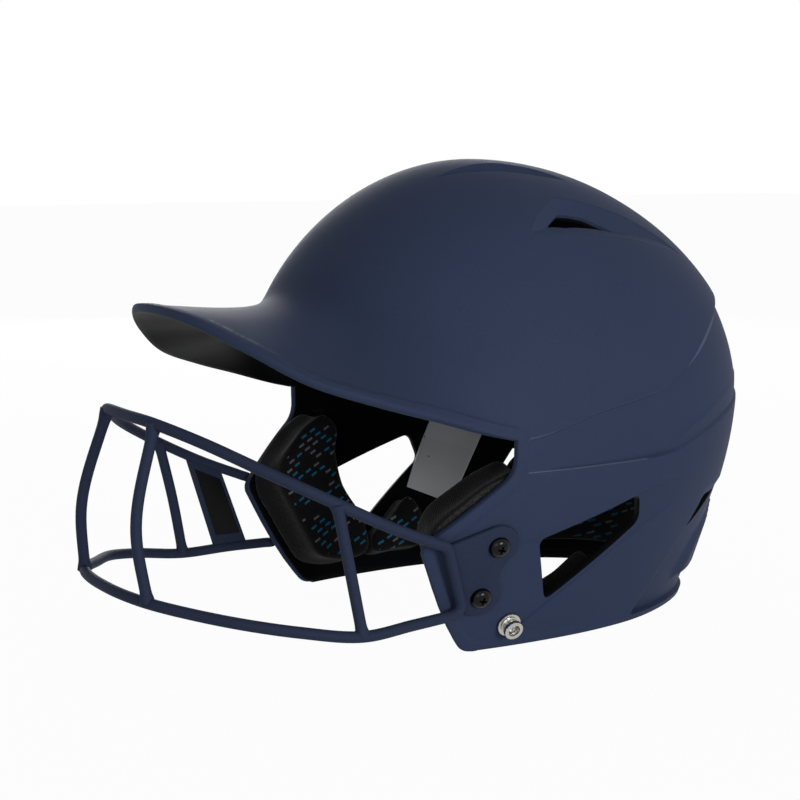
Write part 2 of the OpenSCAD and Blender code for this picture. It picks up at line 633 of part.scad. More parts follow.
// The strip that carries a label, between the hoop's upper and lower runs
module strip(knots, half_w, low, high, shrink) {
    top = hoop_at(knots[0]);
    bottom = hoop_at(knots[1]);
    long = unit(top - bottom);
    out = unit(cross(long, hoop_run(knots[0])));
    wide = cross(out, long);
    ends = [for (k = [0, 1])
        let(end = k == 0 ? top : bottom, run = hoop_run(knots[k]), toward = k == 0 ? -1 : 1)
        [for (s = [-1, 1])
            end + run * s * half_w / (run * wide) + long * toward * shrink]];
    loft([for (e = ends) [e[0] + out * low, e[1] + out * low, e[1] + out * high, e[0] + out * high]]);
}
plate_knots = [5, 12];
module guard_label_plate() {
    color(navy) on_side(-1) difference() {
        strip(plate_knots, plate_w / 2, -plate_t / 2, plate_t / 2, 0);
        hoop_room(plate_knots[0] * hoop_steps - 4, plate_knots[0] * hoop_steps + 4);
        hoop_room(plate_knots[1] * hoop_steps - 4, plate_knots[1] * hoop_steps + 4);
    }
}
module guard_label() {
    margin = 2;
    inner = plate_t / 2 + 0.1;
    color(black) on_side(-1)
        strip(plate_knots, plate_w / 2 - margin, inner, inner + label_t, wire_d + margin);
}

// The studs that a chin strap snaps on, each held by a screw and a nut
stud_a = 68.1;
stud_z = 12.2;
stud_point = wall_point(stud_a, stud_z);
stud_n = wall_normal(stud_a, stud_z);
stud_seat = 0.4;
stud_recess_d = stud_barrel_d * 0.6;
stud_floor = stud_seat + stud_flange_t + 1.2;
module strap_stud(side) {
    top = stud_seat + stud_flange_t + stud_height;
    neck_r = stud_barrel_d * 0.42;
    foot = stud_seat + stud_flange_t;
    bore_r = stud_screw_d / 2 + 0.1;
    color(metal) on_side(side) aim(stud_point, stud_n) rotate_extrude() polygon([
        [bore_r, stud_seat], [stud_flange_d / 2, stud_seat], [stud_flange_d / 2, foot - 0.3],
        [stud_flange_d / 2 - 0.4, foot], [neck_r, foot], [neck_r, foot + stud_height * 0.4],
        [stud_barrel_d / 2, foot + stud_height * 0.55], [stud_barrel_d / 2, top - 0.5],
        [stud_barrel_d / 2 - 0.5, top], [stud_recess_d / 2, top],
        [stud_recess_d / 2, stud_floor], [bore_r, stud_floor]
    ]);
}
stud_nut_top = -(wall + 2 * gap);
stud_nut_d = stud_screw_d + 5;
stud_nut_t = 2.4;
module stud_screws() {
    length = stud_floor - stud_nut_top + stud_nut_t;
    color(metal) mirrored() aim(stud_point, stud_n) translate([0, 0, stud_floor])
        pan_screw(stud_screw_d, stud_recess_d - 0.4, 1.4, length);
}
module stud_nuts() {
    color(metal) mirrored() aim(stud_point, stud_n)
        translate([0, 0, stud_nut_top - stud_nut_t]) difference() {
            cylinder(d = stud_nut_d, h = stud_nut_t);
            translate([0, 0, -1]) cylinder(d = stud_screw_d + 0.1, h = stud_nut_t + 2);
        }
}

// Foam pads: each lies on the lining inside an outline, with sides drawn in at half height and
// a crowned face. A ring is [share of the outline, share of the thickness].
pad_profile = [
    [0.6, 0], [0.97, 0], [1, 0.12], [0.955, 0.45], [0.98, 0.72], [0.93, 0.9], [0.75, 0.985], [0.4, 1.03]
];
pad_crown = 1.05;
pad_points = 28;
// The outline of a pad is a closed line through its corners
function pad_outline(corners) =
    let(line = closed_line([for (c = corners) [c[0], c[1], 0]], 8), n = len(line))
    [for (k = [0 : pad_points - 1]) let(q = line[floor(k * n / pad_points)]) [q[0], q[1]]];
function mean(v) = v * [for (x = v) 1] / len(v);
module pad(corners, t, seat, place) {
    edge = pad_outline(corners);
    centre = [mean([for (p = edge) p[0]]), mean([for (p = edge) p[1]])];
    n = len(pad_profile);
    polyhedron(
        points = concat(
            [for (r = pad_profile) for (p = edge)
                let(q = centre + (p - centre) * r[0]) place(q[0], q[1], seat + t * r[1])],
            [place(centre[0], centre[1], seat), place(centre[0], centre[1], seat + t * pad_crown)]),
        faces = concat(
            ring_faces(n, pad_points, false),
            [for (k = [0 : pad_points - 1]) [(k + 1) % pad_points, k, n * pad_points]],
            [for (k = [0 : pad_points - 1])
                [(n - 1) * pad_points + k, (n - 1) * pad_points + (k + 1) % pad_points, n * pad_points + 1]]),
        convexity = 6);
}
pad_gap = gap + 0.2;
on_wall = function(a, z, depth) lining_point(a, z, depth);
on_crown = function(x, y, depth) crown_lining(x, y, depth);
function raised_all(corners) = [for (c = corners) [c[0], raised(c[1])]];

// Corners run counterclockwise as [angle, z], or [x, y from the middle of the dome] at the crown
jaw_corners = [
    [49.5, 49], [54, 25], [60, 9], [73, 9], [75, 20], [70, 42], [70.5, 60], [72, 79], [66, 79], [57, 65]
];
ear_corners = [[80, 9], [92, 8], [103, 9], [103.5, 24], [99, 33], [90, 24], [81, 16]];
side_corners = [[80, 103], [98, 101], [118, 103], [134, 110], [136, 128], [120, 140], [98, 138], [82, 128]];
brow_corners = [
    [-53, 137], [-40, 148], [-20, 163], [0, 169], [20, 163], [40, 148], [53, 137], [57, 150],
    [42, 169], [22, 184], [0, 190], [-22, 184], [-42, 169], [-57, 150]
];
nape_corners = [
    [143, 10], [162, 9], [180, 9], [198, 9], [217, 10], [220, 30],
    [214, 52], [197, 62], [180, 64], [163, 62], [146, 52], [140, 30]
];
crown_corners = [
    [-9, -44], [0, -48], [9, -44], [11, 0], [11, 40], [8, 58], [0, 62], [-8, 58], [-11, 40], [-11, 0]
];

// A jaw pad has pockets for the nuts that stand out of the wall behind it
module jaw_pad(side) {
    pocket = 2;
    color(foam) on_side(side) difference() {
        pad(jaw_corners, jaw_pad_t, pad_gap, on_wall);
        on_tab() for (u = screws_u) translate([0, u, nut_top - nut_flange_t - pocket])
            cylinder(d = nut_flange_d + pocket, h = 4 * pocket);
        aim(stud_point, stud_n) translate([0, 0, stud_nut_top - stud_nut_t - pocket])
            cylinder(d = stud_nut_d + pocket, h = 4 * pocket);
    }
}
module ear_pad(side) {
    color(foam) on_side(side) pad(ear_corners, head_pad_t, pad_gap, on_wall);
}
module side_pad(side) {
    color(foam) on_side(side) pad(raised_all(side_corners), head_pad_t, band_depth + pad_gap, on_wall);
}
module brow_pad() {
    color(foam) pad(raised_all(brow_corners), head_pad_t, pad_gap, on_wall);
}
module crown_pad() {
    color(foam) pad(crown_corners, head_pad_t, pad_gap, on_crown);
}
module nape_pad() {
    color(foam) pad(nape_corners, head_pad_t, nape_depth + pad_gap, on_wall);
}

// A label on the inner side of the wall, behind the right ear window
label_corners = [[-112.5, 74], [-102.8, 39.5], [-118.5, 29], [-128.5, 66]];
module inside_label() {
    steps = 4;
    grid = [for (i = [0 : steps]) [for (k = [0 : steps])
        let(s = i / steps, t = k / steps)
        (1 - s) * ((1 - t) * label_corners[0] + t * label_corners[1])
            + s * ((1 - t) * label_corners[3] + t * label_corners[2])]];
    color(label_grey) loft([for (row = grid) concat(
        [for (q = row) lining_point(q[0], q[1], pad_gap)],
        [for (k = [steps : -1 : 0]) lining_point(row[k][0], row[k][1], pad_gap + label_t)])]);
}

shell();
guard_hoop();
guard_center_bar(1);  // guard_center_bar_left
guard_center_bar(-1);  // guard_center_bar_right
guard_side_bar(1);  // guard_side_bar_left
guard_side_bar(-1);  // guard_side_bar_right
guard_label_plate();
guard_label();
guard_tab(1);  // guard_tab_left
guard_tab(-1);  // guard_tab_right
guard_screws();
guard_tee_nuts();
strap_stud(1);  // strap_stud_left
strap_stud(-1);  // strap_stud_right
stud_screws();
stud_nuts();
jaw_pad(1);  // jaw_pad_left
jaw_pad(-1);  // jaw_pad_right
ear_pad(1);  // ear_pad_left
ear_pad(-1);  // ear_pad_right
side_pad(1);  // side_pad_left
side_pad(-1);  // side_pad_right
brow_pad();
crown_pad();
nape_pad();
inside_label();
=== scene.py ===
# %% [markdown]
# A batting helmet with a wire face guard. The shell is one moulded wall of black plastic, painted
# matt navy outside, with a visor, two cheek flaps, two ear windows and four vents. A bent wire
# guard is screwed to the flaps, and foam pads with a knitted face line the inside. The solid
# model fixes every size, so this script loads it first and then dresses it in the same frame.

from math import radians

import bmesh
import bpy
import numpy as np
from mathutils import Matrix, Vector
from mathutils.geometry import delaunay_2d_cdt
from mathutils.kdtree import KDTree


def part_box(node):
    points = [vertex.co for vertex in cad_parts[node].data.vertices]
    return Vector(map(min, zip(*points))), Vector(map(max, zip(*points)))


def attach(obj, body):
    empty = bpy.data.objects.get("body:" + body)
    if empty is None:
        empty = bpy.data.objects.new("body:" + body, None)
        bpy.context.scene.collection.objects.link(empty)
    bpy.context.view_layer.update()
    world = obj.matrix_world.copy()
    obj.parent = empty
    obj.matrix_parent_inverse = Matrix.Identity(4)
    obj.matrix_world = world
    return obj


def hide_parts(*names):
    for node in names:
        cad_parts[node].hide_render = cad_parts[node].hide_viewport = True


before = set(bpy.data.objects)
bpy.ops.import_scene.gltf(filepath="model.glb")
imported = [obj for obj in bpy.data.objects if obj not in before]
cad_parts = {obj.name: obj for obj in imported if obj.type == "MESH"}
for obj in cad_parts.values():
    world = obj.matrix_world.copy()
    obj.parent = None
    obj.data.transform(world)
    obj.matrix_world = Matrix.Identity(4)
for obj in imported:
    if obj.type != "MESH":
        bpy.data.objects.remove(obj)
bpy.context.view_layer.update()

# %% [markdown]
# The camera comes first, because it decides what has to look right. The helmet is seen from its
# left front, a little above the middle, through a long lens. Its place and its two angles were
# fitted to the object's outline.

# %% Camera
MM = 0.001
SENSOR, LENS = 36, 76.5
STANDS_AT = (679.9, -442.6, 222.1)
LOOKS_DOWN, TURNED = 8.36, 57.78
link = bpy.context.scene.collection.objects.link
camera_data = bpy.data.cameras.new("camera")
camera_data.sensor_width = SENSOR
camera_data.lens = LENS
camera = bpy.data.objects.new("camera", camera_data)
camera.location = Vector(STANDS_AT) * MM
camera.rotation_euler = (radians(90 - LOOKS_DOWN), 0, radians(TURNED))
link(camera)
bpy.context.scene.camera = camera
print("camera at", tuple(round(c, 3) for c in camera.location))

# %% [markdown]
# Small tools for smooth shapes come next. Everything is worked out in millimetres with numpy,
# many points at once, and turned into metres only when a mesh is made. A curve here runs through
# a few stations, each an angle round the dome and a value, and is the same on both sides.

# %% Tools for smooth curves
def soft(x, width):
    return (x + np.sqrt(x * x + width * width)) / 2


def ramp(t):
    return np.clip(t, 0, 1)


def smooth(t):
    t = ramp(t)
    return t * t * (3 - 2 * t)


def past(angle, start, span):
    """0 up to an angle from the front on either side, and 1 from a span further back."""
    return smooth((np.abs(angle) - start) / span)


def until(angle, end, span):
    return smooth((end - np.abs(angle)) / span)


def sin_cos(degrees):
    return np.sin(np.radians(degrees)), np.cos(np.radians(degrees))


def columns(*parts):
    """Numbers side by side, as the coordinates of points."""
    return np.stack(np.broadcast_arrays(*parts), axis=-1)


def unit(v):
    return v / np.linalg.norm(v, axis=-1, keepdims=True)


def wrap(angle):
    return (np.asarray(angle, float) + 180) % 360 - 180


def curve(stations, angle):
    x, y = np.array(stations, float).T
    slope = np.zeros_like(y)
    slope[1:-1] = (y[2:] - y[:-2]) / (x[2:] - x[:-2])
    slope[-1] = (y[-1] - y[-2]) / (x[-1] - x[-2])
    at = np.abs(angle)
    i = np.clip(np.searchsorted(x, at, side="right") - 1, 0, len(x) - 2)
    h = x[i + 1] - x[i]
    t = ramp((at - x[i]) / h)
    near = y[i] * (1 + 2 * t) + slope[i] * h * t
    far = y[i + 1] * (3 - 2 * t) - slope[i + 1] * h * (1 - t)
    return near * (1 - t) ** 2 + far * t**2


print("a curve through three stations:", curve([[0, 0], [1, 1], [2, 0]], np.array([0.5, 1.5])))

# %% [markdown]
# The shell follows one formula for its outline at each height: a dome above the widest place,
# and below it walls that turn in, with cheek flaps that run far forward. The same numbers shape
# the solid model, so the painted skin lies where the solid is and only adds finer forms to it.

# %% Sizes of the shell
SHELL_WIDTH = 209
DOME_FRONT = 111.5
DOME_BACK = 145
CROWN_HEIGHT = 218
WIDEST_Z = 99.4
DOME_HEIGHT = CROWN_HEIGHT - WIDEST_Z
WALL = 3.2
VISOR_REACH = 167
VISOR_Z = 155
CORNER_A = 67
DOME_N = 1.96
PLAN_N = 2.08
FLAP_FRONT = DOME_FRONT + 42.5
FLAP_TOP_Z = 154
FLAP_FULL_Z = 84
HEAD_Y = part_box("shell")[0].y / MM + VISOR_REACH
DOME_EDGE = [[67, 99.6], [91, 109.4], [114, 117], [122, 125], [137, 141.4], [155, 152], [180, 156]]
PANEL_EDGE = [[67, 84.4], [91, 84.5], [115, 85.2], [126, 90], [141, 97.4], [160, 104], [180, 107]]
VISOR_R = [
    [0, VISOR_REACH], [10, VISOR_REACH - 1.5], [20, VISOR_REACH - 8], [30, 149.6],
    [40, 137.1], [50, 125.2], [60, 115.5], [67, 109.5],
]
VISOR_EDGE_Z = [
    [0, VISOR_Z], [10, VISOR_Z - 2.6], [20, 142], [30, 128.5],
    [40, 119.3], [50, 111.5], [60, 103.8], [67, 99.6],
]
VISOR_ROOT_Z = [[0, 163], [20, 157], [40, 141], [60, 120], [67, 112]]
print("middle of the dome is at y =", round(HEAD_Y, 3), "mm")


# %% The shell's outline at any height
def dome_edge(a):
    return curve(DOME_EDGE, a)


def panel_edge(a):
    return curve(PANEL_EDGE, a)


def visor_root(a):
    return curve(VISOR_ROOT_Z, a)


def turned_in(z, start, slope, blend):
    return slope * (soft(start - np.minimum(z, WIDEST_Z), blend) - soft(start - WIDEST_Z, blend))


def side_half(z):
    return SHELL_WIDTH / 2 - turned_in(z, start=73, slope=0.39, blend=20)


def back_length(z):
    return DOME_BACK - turned_in(z, start=91.4, slope=0.28, blend=25)


def front_length(z):
    share = smooth((FLAP_TOP_Z - z) / (FLAP_TOP_Z - FLAP_FULL_Z))
    return DOME_FRONT + (FLAP_FRONT - DOME_FRONT) * share


print("half width at the widest place:", side_half(WIDEST_Z), "mm")

# %% A point on the shell at any angle and height
def share_up(z):
    return ramp((z - WIDEST_Z) / DOME_HEIGHT)


def dome_line(share):
    """The dome's superellipse: how far in it is, or how far up, for a share of the other way."""
    return (1 - share**DOME_N) ** (1 / DOME_N)


def wall_r(a, z):
    s, c = sin_cos(a)
    small = dome_line(share_up(z))
    power = 2 + (PLAN_N - 2) * small**2
    length = np.where(c > 0, front_length(z), back_length(z))
    ring = (np.abs(s) / side_half(z)) ** power + (np.abs(c) / length) ** power
    return small * ring ** (-1 / power)


def dome_point(a, z, out=0):
    r = wall_r(a, z) + out
    s, c = sin_cos(a)
    return columns(r * s, HEAD_Y - r * c, z)


def wall_normal(a, z):
    along = dome_point(a + 1, z) - dome_point(a - 1, z)
    up = dome_point(a, z + 0.5) - dome_point(a, z - 0.5)
    return unit(np.cross(along, up))


print("half width at the table:", round(float(wall_r(90, 0.0)), 1), "mm")

# %% [markdown]
# The visor grows out of the dome. At each angle the dome's line ends at a root, and a Bezier
# curve carries it out to the visor's edge, so the skin stays smooth across the join. One number,
# t, runs from 0 at the crown to 1 at the edge.

# %% The upper shell with its visor
RIM_BULGE = 0.8
EDGE_SWELL = 2.4
CORNER_DIP = 85
TANGENT_REACH = 0.42
VISOR_LIFT = 3.2
LIFT_SCALE = 28.9  # makes the highest value of t^2 (1 - t)^3 about 1


def back_swell(a, z):
    """How far the dome swells over the band below it, which it does most at its rear edge."""
    return EDGE_SWELL * past(a, 105, 40) * ramp((198 - z) / 42)


def dome_at(a, turn):
    z = WIDEST_Z + DOME_HEIGHT * np.maximum(0, sin_cos(turn)[1]) ** (2 / DOME_N)
    return dome_point(a, z, back_swell(a, z))


def turn_of(z):
    return np.degrees(np.arccos(share_up(z) ** (DOME_N / 2)))


def root_share(a):
    """The t at which the visor starts: low in the middle, and near the edge at its corners."""
    return 0.6 + 0.32 * (np.abs(a) / CORNER_A) ** 1.5


def visor_lift(a, t):
    """A gentle crown along the middle of the visor, between its root and its edge."""
    return VISOR_LIFT * LIFT_SCALE * t**2 * (1 - t) ** 3 * (1 - past(a, 0, 48))


def visor_at(a, t):
    root = turn_of(visor_root(a))
    p0 = dome_at(a, root)
    tangent = unit(p0 - dome_at(a, root - 1))
    r = curve(VISOR_R, a) - RIM_BULGE * until(a, CORNER_A, 10)
    s, c = sin_cos(a)
    p3 = columns(r * s, HEAD_Y - r * c, curve(VISOR_EDGE_Z, a))
    down, level = sin_cos(CORNER_DIP * (np.abs(a) / CORNER_A) ** 2.4)
    outward = columns(level * s, -level * c, -down)
    reach = TANGENT_REACH * np.linalg.norm(p3 - p0, axis=-1, keepdims=True)
    lift = visor_lift(a, t)[..., None] * [0, 0, 1]
    t = t[..., None]
    start = p0 * (1 - t) ** 3 + 3 * t * (1 - t) ** 2 * (p0 + reach * tangent)
    return start + 3 * t**2 * (1 - t) * (p3 - reach * outward) + t**3 * p3 + lift


print("in the middle the visor starts at t =", float(root_share(0.0)))

# %% One surface from the crown to the edge
def upper(a, t):
    a, t = np.broadcast_arrays(wrap(a), np.asarray(t, float))
    side = np.clip(a, -CORNER_A, CORNER_A)
    share = root_share(side)
    back = dome_at(a, turn_of(dome_edge(a)) * t)
    front = dome_at(side, turn_of(visor_root(side)) * t / share)
    visor = visor_at(side, ramp((t - share) / (1 - share)))
    near_root = (t <= share)[..., None]
    return np.where((np.abs(a) >= CORNER_A)[..., None], back, np.where(near_root, front, visor))


def upper_normal(a, t):
    low, high = np.maximum(0.02, t - 0.02), np.minimum(1, t + 0.02)
    normal = np.cross(upper(a, high) - upper(a, low), upper(a + 0.7, t) - upper(a - 0.7, t))
    edge = (t > 0.9999) & (np.abs(wrap(a)) >= CORNER_A - 1e-6)
    normal = np.where((t < 0.01)[..., None], [0.0, 0.0, 1.0], unit(normal + 1e-12))
    return np.where(edge[..., None], wall_normal(wrap(a), dome_edge(wrap(a))), normal)


print("visor's tip:", upper(np.array([0.0]), np.array([1.0]))[0].round(1))

# %% [markdown]
# The lower shell is a panel below a recessed band. These reliefs are small steps on the
# formula's surface: the band drops behind the dome's edge, slants in further towards the back,
# and the panel's top edge stands proud again. A triangular facet lies around the ear window,
# and at the back a recess has a raised plate in its middle. A low bead runs along the bottom.

# %% Reliefs of the lower shell
BAND_DEPTH = 1.4
BEVEL = 1.2
STRIP_DEPTH = 1.1
NAPE_DEPTH = 3.5
NAPE_A = 119.5
NAPE_TURN = 18
NAPE_TOP_Z = 62
PLATE_PROUD = 0.3
BEAD_Z, BEAD_HEIGHT = 3.4, 0.5
RIM_SLOPE = 0.8
CREST, CREST_WIDTH = 0.3, 1.3
FACET_DEPTH, FACET_BEVEL = 0.85, 0.8
FACET_TOP = [[67, 52.6], [74.7, 54.1], [92, 62.6], [103.6, 67.6], [120, 74]]
FACET_LOW = [[67, 4.5], [74.2, 12.1], [84.9, 23.6], [93.8, 33.2], [109.2, 49.7], [120, 60]]


def strip_width(a):
    """Height of the slanted strip between the band and the panel."""
    return 1.5 + 8 * past(a, 98, 42)


def edge_bevel(a):
    """Height of the step below the dome's edge."""
    return BEVEL + 1.6 * past(a, 115, 20)


def crest(a):
    """Height of the fine raised line along the dome's edge at the sides."""
    return CREST * past(a, CORNER_A, 6) * until(a, 128, 14)


def nape_edge(z):
    """The angle at which the nape's recess starts, which leans back as it rises."""
    return NAPE_A + NAPE_TURN * z / NAPE_TOP_Z


print("the nape's recess starts", NAPE_A, "degrees from the front")

# %% The nape's recess, and all reliefs together
def nape(a, z):
    """The nape's recess, shallow at its foot and its top, with a raised plate in its middle."""
    back = np.abs(a) - nape_edge(z)
    foot = ramp((z - BEAD_Z) / RIM_SLOPE)
    behind = smooth(back / 2.2) * smooth((NAPE_TOP_Z - z) / 4) * foot
    behind += 0.45 * smooth(back / 28) * (1 - foot)
    inset = 16 + 7 * smooth((z - 33) / 12)
    plate = smooth((back - inset) / 3) * smooth((50 - z) / 4) * smooth((z - 13) / 4)
    deep = NAPE_DEPTH * (1 - 0.65 * z / NAPE_TOP_Z)
    return PLATE_PROUD * plate - deep * behind * (1 - plate)


def relief(a, z):
    """How far the lower shell stands out from the formula's surface, or lies in from it."""
    a = wrap(a)
    top, low = dome_edge(a), panel_edge(a)
    below, above = ramp((top - z) / edge_bevel(a)), ramp((z - low) / BEVEL)
    strip_top = low + BEVEL + strip_width(a)
    slant = ramp((strip_top - z) / strip_width(a))
    flush = past(a, 108, 14)
    on_strip = flush * ramp((strip_top + BEVEL - z) / BEVEL)
    band = (BAND_DEPTH - 1.05 * past(a, 110, 25)) * past(a, CORNER_A, 14) * below * (1 - on_strip)
    band += STRIP_DEPTH * past(a, 85, 45) * slant * (1 - flush)
    band += on_strip * (0.05 + 0.9 * slant)
    facet = ramp((curve(FACET_TOP, a) - z) / FACET_BEVEL)
    facet *= ramp((z - curve(FACET_LOW, a)) / FACET_BEVEL)
    facet *= past(a, 66, 9) * until(a, 122, 10)
    lip = back_swell(a, top) * (1 - below)
    return lip + nape(a, z) - band * above - FACET_DEPTH * facet


print("depth of the nape recess:", round(float(-relief(150.0, 10.0)), 2), "mm")

# %% [markdown]
# Now the outlines that are cut out of the skin. The upper shell is laid out flat like a map of
# the pole, and the lower shell like a label unrolled from a tin. An outline is a list of corners
# on one of these maps, and its corners are rounded with a short curve.

# %% Outlines on the two maps
MAP_R = 150
MM_PER_DEGREE = 1.9
BOTTOM = RIM_BULGE
STEP = 1.2  # spacing of the points along a cut line


def polar(a, t):
    s, c = sin_cos(a)
    return columns(MAP_R * t * s, -MAP_R * t * c)


def unpolar(points):
    x, y = points.T
    return np.degrees(np.arctan2(x, -y)), np.hypot(x, y) / MAP_R


def unrolled(a, z):
    return columns(MM_PER_DEGREE * a, z).astype(float)


def dense(points, step, closed=True):
    points = np.asarray(points, float)
    ends = np.roll(points, -1, axis=0) if closed else points[1:]
    out = []
    for p, q in zip(points, ends):
        n = max(1, int(np.ceil(np.linalg.norm(q - p) / step)))
        out.extend(p + (q - p) * k / n for k in range(n))
    return np.array(out if closed else out + [points[-1]])


def rounded(points, radii, steps=6):
    """A closed outline whose corners are eased with a curve that starts radius away from them."""
    points = np.asarray(points, float)
    out = []
    for i, p in enumerate(points):
        before, after = points[i - 1], points[(i + 1) % len(points)]
        r = radii[i] if np.ndim(radii) else radii
        if r == 0:
            out.append(p)
            continue
        p0 = p + unit(before - p) * min(r, 0.49 * np.linalg.norm(before - p))
        p2 = p + unit(after - p) * min(r, 0.49 * np.linalg.norm(after - p))
        for k in range(steps + 1):
            t = k / steps
            out.append(p0 * (1 - t) ** 2 + 2 * t * (1 - t) * p + t**2 * p2)
    return np.array(out)


print("a rounded square has", len(rounded([[0, 0], [9, 0], [9, 9], [0, 9]], 2)), "points")

# %% The lower shell's outline and openings
SEAM_A = np.linspace(CORNER_A, 360 - CORNER_A, 207)
FLAP = [
    [67, 84.4], [46.6, 53.6], [46.2, 50], [46.9, 44], [48, 34], [49.3, 24],
    [51, 14], [52.8, 6.5], [54.5, BOTTOM],
]
FLAP_R = [7, 5, 0, 0, 0, 0, 0, 0, 5]
WINDOW = [[-26.3, 52.3], [27.8, 68], [31.2, 54.6], [-15.1, 21]]
WINDOW_R, SLIT_R, VENT_R = 4.2, 0.5, 0.8
SLIT = [[1, 57.5], [12, 57.5], [8, 51.5], [5.5, 46], [1.6, 41], [1, 44], [1, 51]]


def side_angle(y, z):
    """The angle round the dome of a point on its left side, from its place seen from the side."""
    low, high = np.full(len(y), 40.0), np.full(len(y), 140.0)
    for _ in range(40):
        middle = (low + high) / 2
        ahead = -wall_r(middle, z) * sin_cos(middle)[1] < y
        low, high = np.where(ahead, middle, low), np.where(ahead, high, middle)
    return (low + high) / 2


def flipped(loop):
    """The same outline on the wearer's right side of the unrolled map."""
    return (loop * [-1, 1] + [360 * MM_PER_DEGREE, 0])[::-1]


flap = np.array([[CORNER_A, dome_edge(CORNER_A)], *FLAP, [75, BOTTOM]], float)
flap_line = dense(rounded(flap * [MM_PER_DEGREE, 1], [0, *FLAP_R, 0]), STEP, closed=False)
seam = unrolled(SEAM_A, dome_edge(wrap(SEAM_A)))
floor_line = dense([flap_line[-1], flipped(flap_line)[0]], 2, closed=False)
lower_outline = np.vstack([flap_line, floor_line[1:-1], flipped(flap_line), seam[-2:0:-1]])
window = dense(rounded(WINDOW, WINDOW_R), STEP)
window = unrolled(side_angle(*window.T), window[:, 1])
slit = dense(rounded(SLIT, SLIT_R, 3), STEP)
slit = unrolled(nape_edge(slit[:, 1]) + slit[:, 0], slit[:, 1])
print("lower outline has", len(lower_outline), "points")

# %% [markdown]
# Each vent is a recess with a slot in its floor. The recess falls from a crisp outline to the
# slot in ruled faces, as it does in the mould, so both outlines are given as corners. Creases
# join the recess's sharp corners to the slot, and get steadily deeper on the way.

# %% Vents on the upper map
VENT_Z = 184.5
REAR_VENT = [
    [77.6, 0.6], [80.8, 4.5], [85.2, 8.8], [90.8, 12.2], [97.6, 14.8], [104, 16.2], [113, 15],
    [120, 13], [129, 9.2], [134.4, 6], [139, 0.5], [146.6, -12.4], [134, -7.6], [124.5, -3.4],
    [116.5, -1.6], [104.5, -0.2], [97.5, 0], [87.5, 0.2],
]
REAR_SLOT = [[89.2, 5.5], [99.2, 10.8], [105.6, 10.5], [113.2, 8.8], [122, 2], [114.8, 3.8], [98, 5]]
CROWN_X = 14
CROWN_VENT = [
    [-34, 6.5], [-22, 5], [-8, 3.8], [7, 5], [20, 10.2], [27, 14.6], [33, 20],
    [24, 20.6], [15, 20.2], [5, 18.8], [-8, 15.6], [-17, 13], [-28, 9],
]
CROWN_SLOT = [[-26, 8.2], [-8, 8.8], [7, 10.4], [20, 16], [25, 18.6], [15, 17], [5, 14.6], [-8, 12]]


def rear_map(corners):
    a, h = np.array(corners, float).T
    return polar(a, turn_of(VENT_Z + h) / turn_of(dome_edge(a)))


def crown_z(x, y):
    """The dome's height over a place in plan, measured from the dome's middle."""
    share = np.hypot(x / side_half(WIDEST_Z), y / np.where(y < 0, DOME_FRONT, DOME_BACK))
    return WIDEST_Z + DOME_HEIGHT * dome_line(share)


def crown_map(corners):
    y, out = np.array(corners, float).T
    x = CROWN_X + out
    z = crown_z(x, y)
    a = np.degrees(np.arctan2(x, -y))
    side = np.minimum(a, CORNER_A)
    front = root_share(side) * turn_of(z) / turn_of(visor_root(side))
    return polar(a, np.where(a < CORNER_A, front, turn_of(z) / turn_of(dome_edge(a))))


REAR_DEPTH, CROWN_DEPTH = 3.4, 4.2
REAR_CREASES = [(0, 0), (5, 1), (11, 4)]
CROWN_CREASES = [(0, 0), (6, 4)]
vents, creases = [], []
for outline, slot, to_map, full, pairs in [
    (REAR_VENT, REAR_SLOT, rear_map, REAR_DEPTH, REAR_CREASES),
    (CROWN_VENT, CROWN_SLOT, crown_map, CROWN_DEPTH, CROWN_CREASES),
]:
    fine = [dense(rounded(to_map(corners), VENT_R, 3), STEP) for corners in (outline, slot)]
    vents += [fine, [loop * [-1, 1] for loop in fine]]
    for pair in pairs:
        corners = to_map([outline[pair[0]], slot[pair[1]]])
        ends = [loop[np.argmin(np.hypot(*(loop - c).T))] for loop, c in zip(fine, corners)]
        line = dense(ends, STEP, closed=False)
        falls = np.linspace(0, full, len(line))
        creases += [(line, falls), (line * [-1, 1], falls)]
print("vents:", [len(outline) for outline, _ in vents], "points round each")

# %% [markdown]
# A sheet is cut along its outlines with a constrained Delaunay triangulation: it takes loose
# points and lines that must become edges, and fills them with well shaped triangles. Loose
# points that lie too close to a line are dropped first. A boolean could cut the openings too,
# but on a curved skin it leaves long thin triangles that shade badly.

# %% Cut a flat map into triangles
def inside(loop, points):
    x, y = points.T
    hit = np.zeros(len(points), bool)
    for (x0, y0), (x1, y1) in zip(loop, np.roll(loop, -1, axis=0)):
        if y0 != y1:
            hit ^= ((y0 > y) != (y1 > y)) & (x < (x1 - x0) * (y - y0) / (y1 - y0) + x0)
    return hit


def tree_of(points):
    tree = KDTree(len(points))
    for i, p in enumerate(points):
        tree.insert(p, i)
    tree.balance()
    return tree


def clear_of(lines, points, room):
    tree = tree_of([(x, y, 0) for x, y in np.vstack(lines)])
    return points[np.array([tree.find((x, y, 0))[2] > room for x, y in points])]


def cut_map(loops, lines, points):
    corners, edges = [], []
    for line, closed in [(loop, True) for loop in loops] + [(line, False) for line in lines]:
        n, start = len(line), len(corners)
        corners.extend(line)
        edges.extend((start + k, start + (k + 1) % n) for k in range(n if closed else n - 1))
    corners.extend(points)
    cut = delaunay_2d_cdt([Vector(p) for p in corners], edges, [], 0, 1e-4)
    found = np.array([v[:] for v in cut[0]])
    faces = np.array(cut[2])
    p, q, r = (found[faces[:, k]] for k in range(3))
    turned = np.cross(q - p, r - p) < 0
    faces[turned] = faces[turned][:, ::-1]
    return found, faces, found[faces].mean(axis=1)


square = dense([[0, 0], [1, 0], [1, 1], [0, 1]], 1)
print("a square is cut into", len(cut_map([square], [], [])[1]), "triangles")

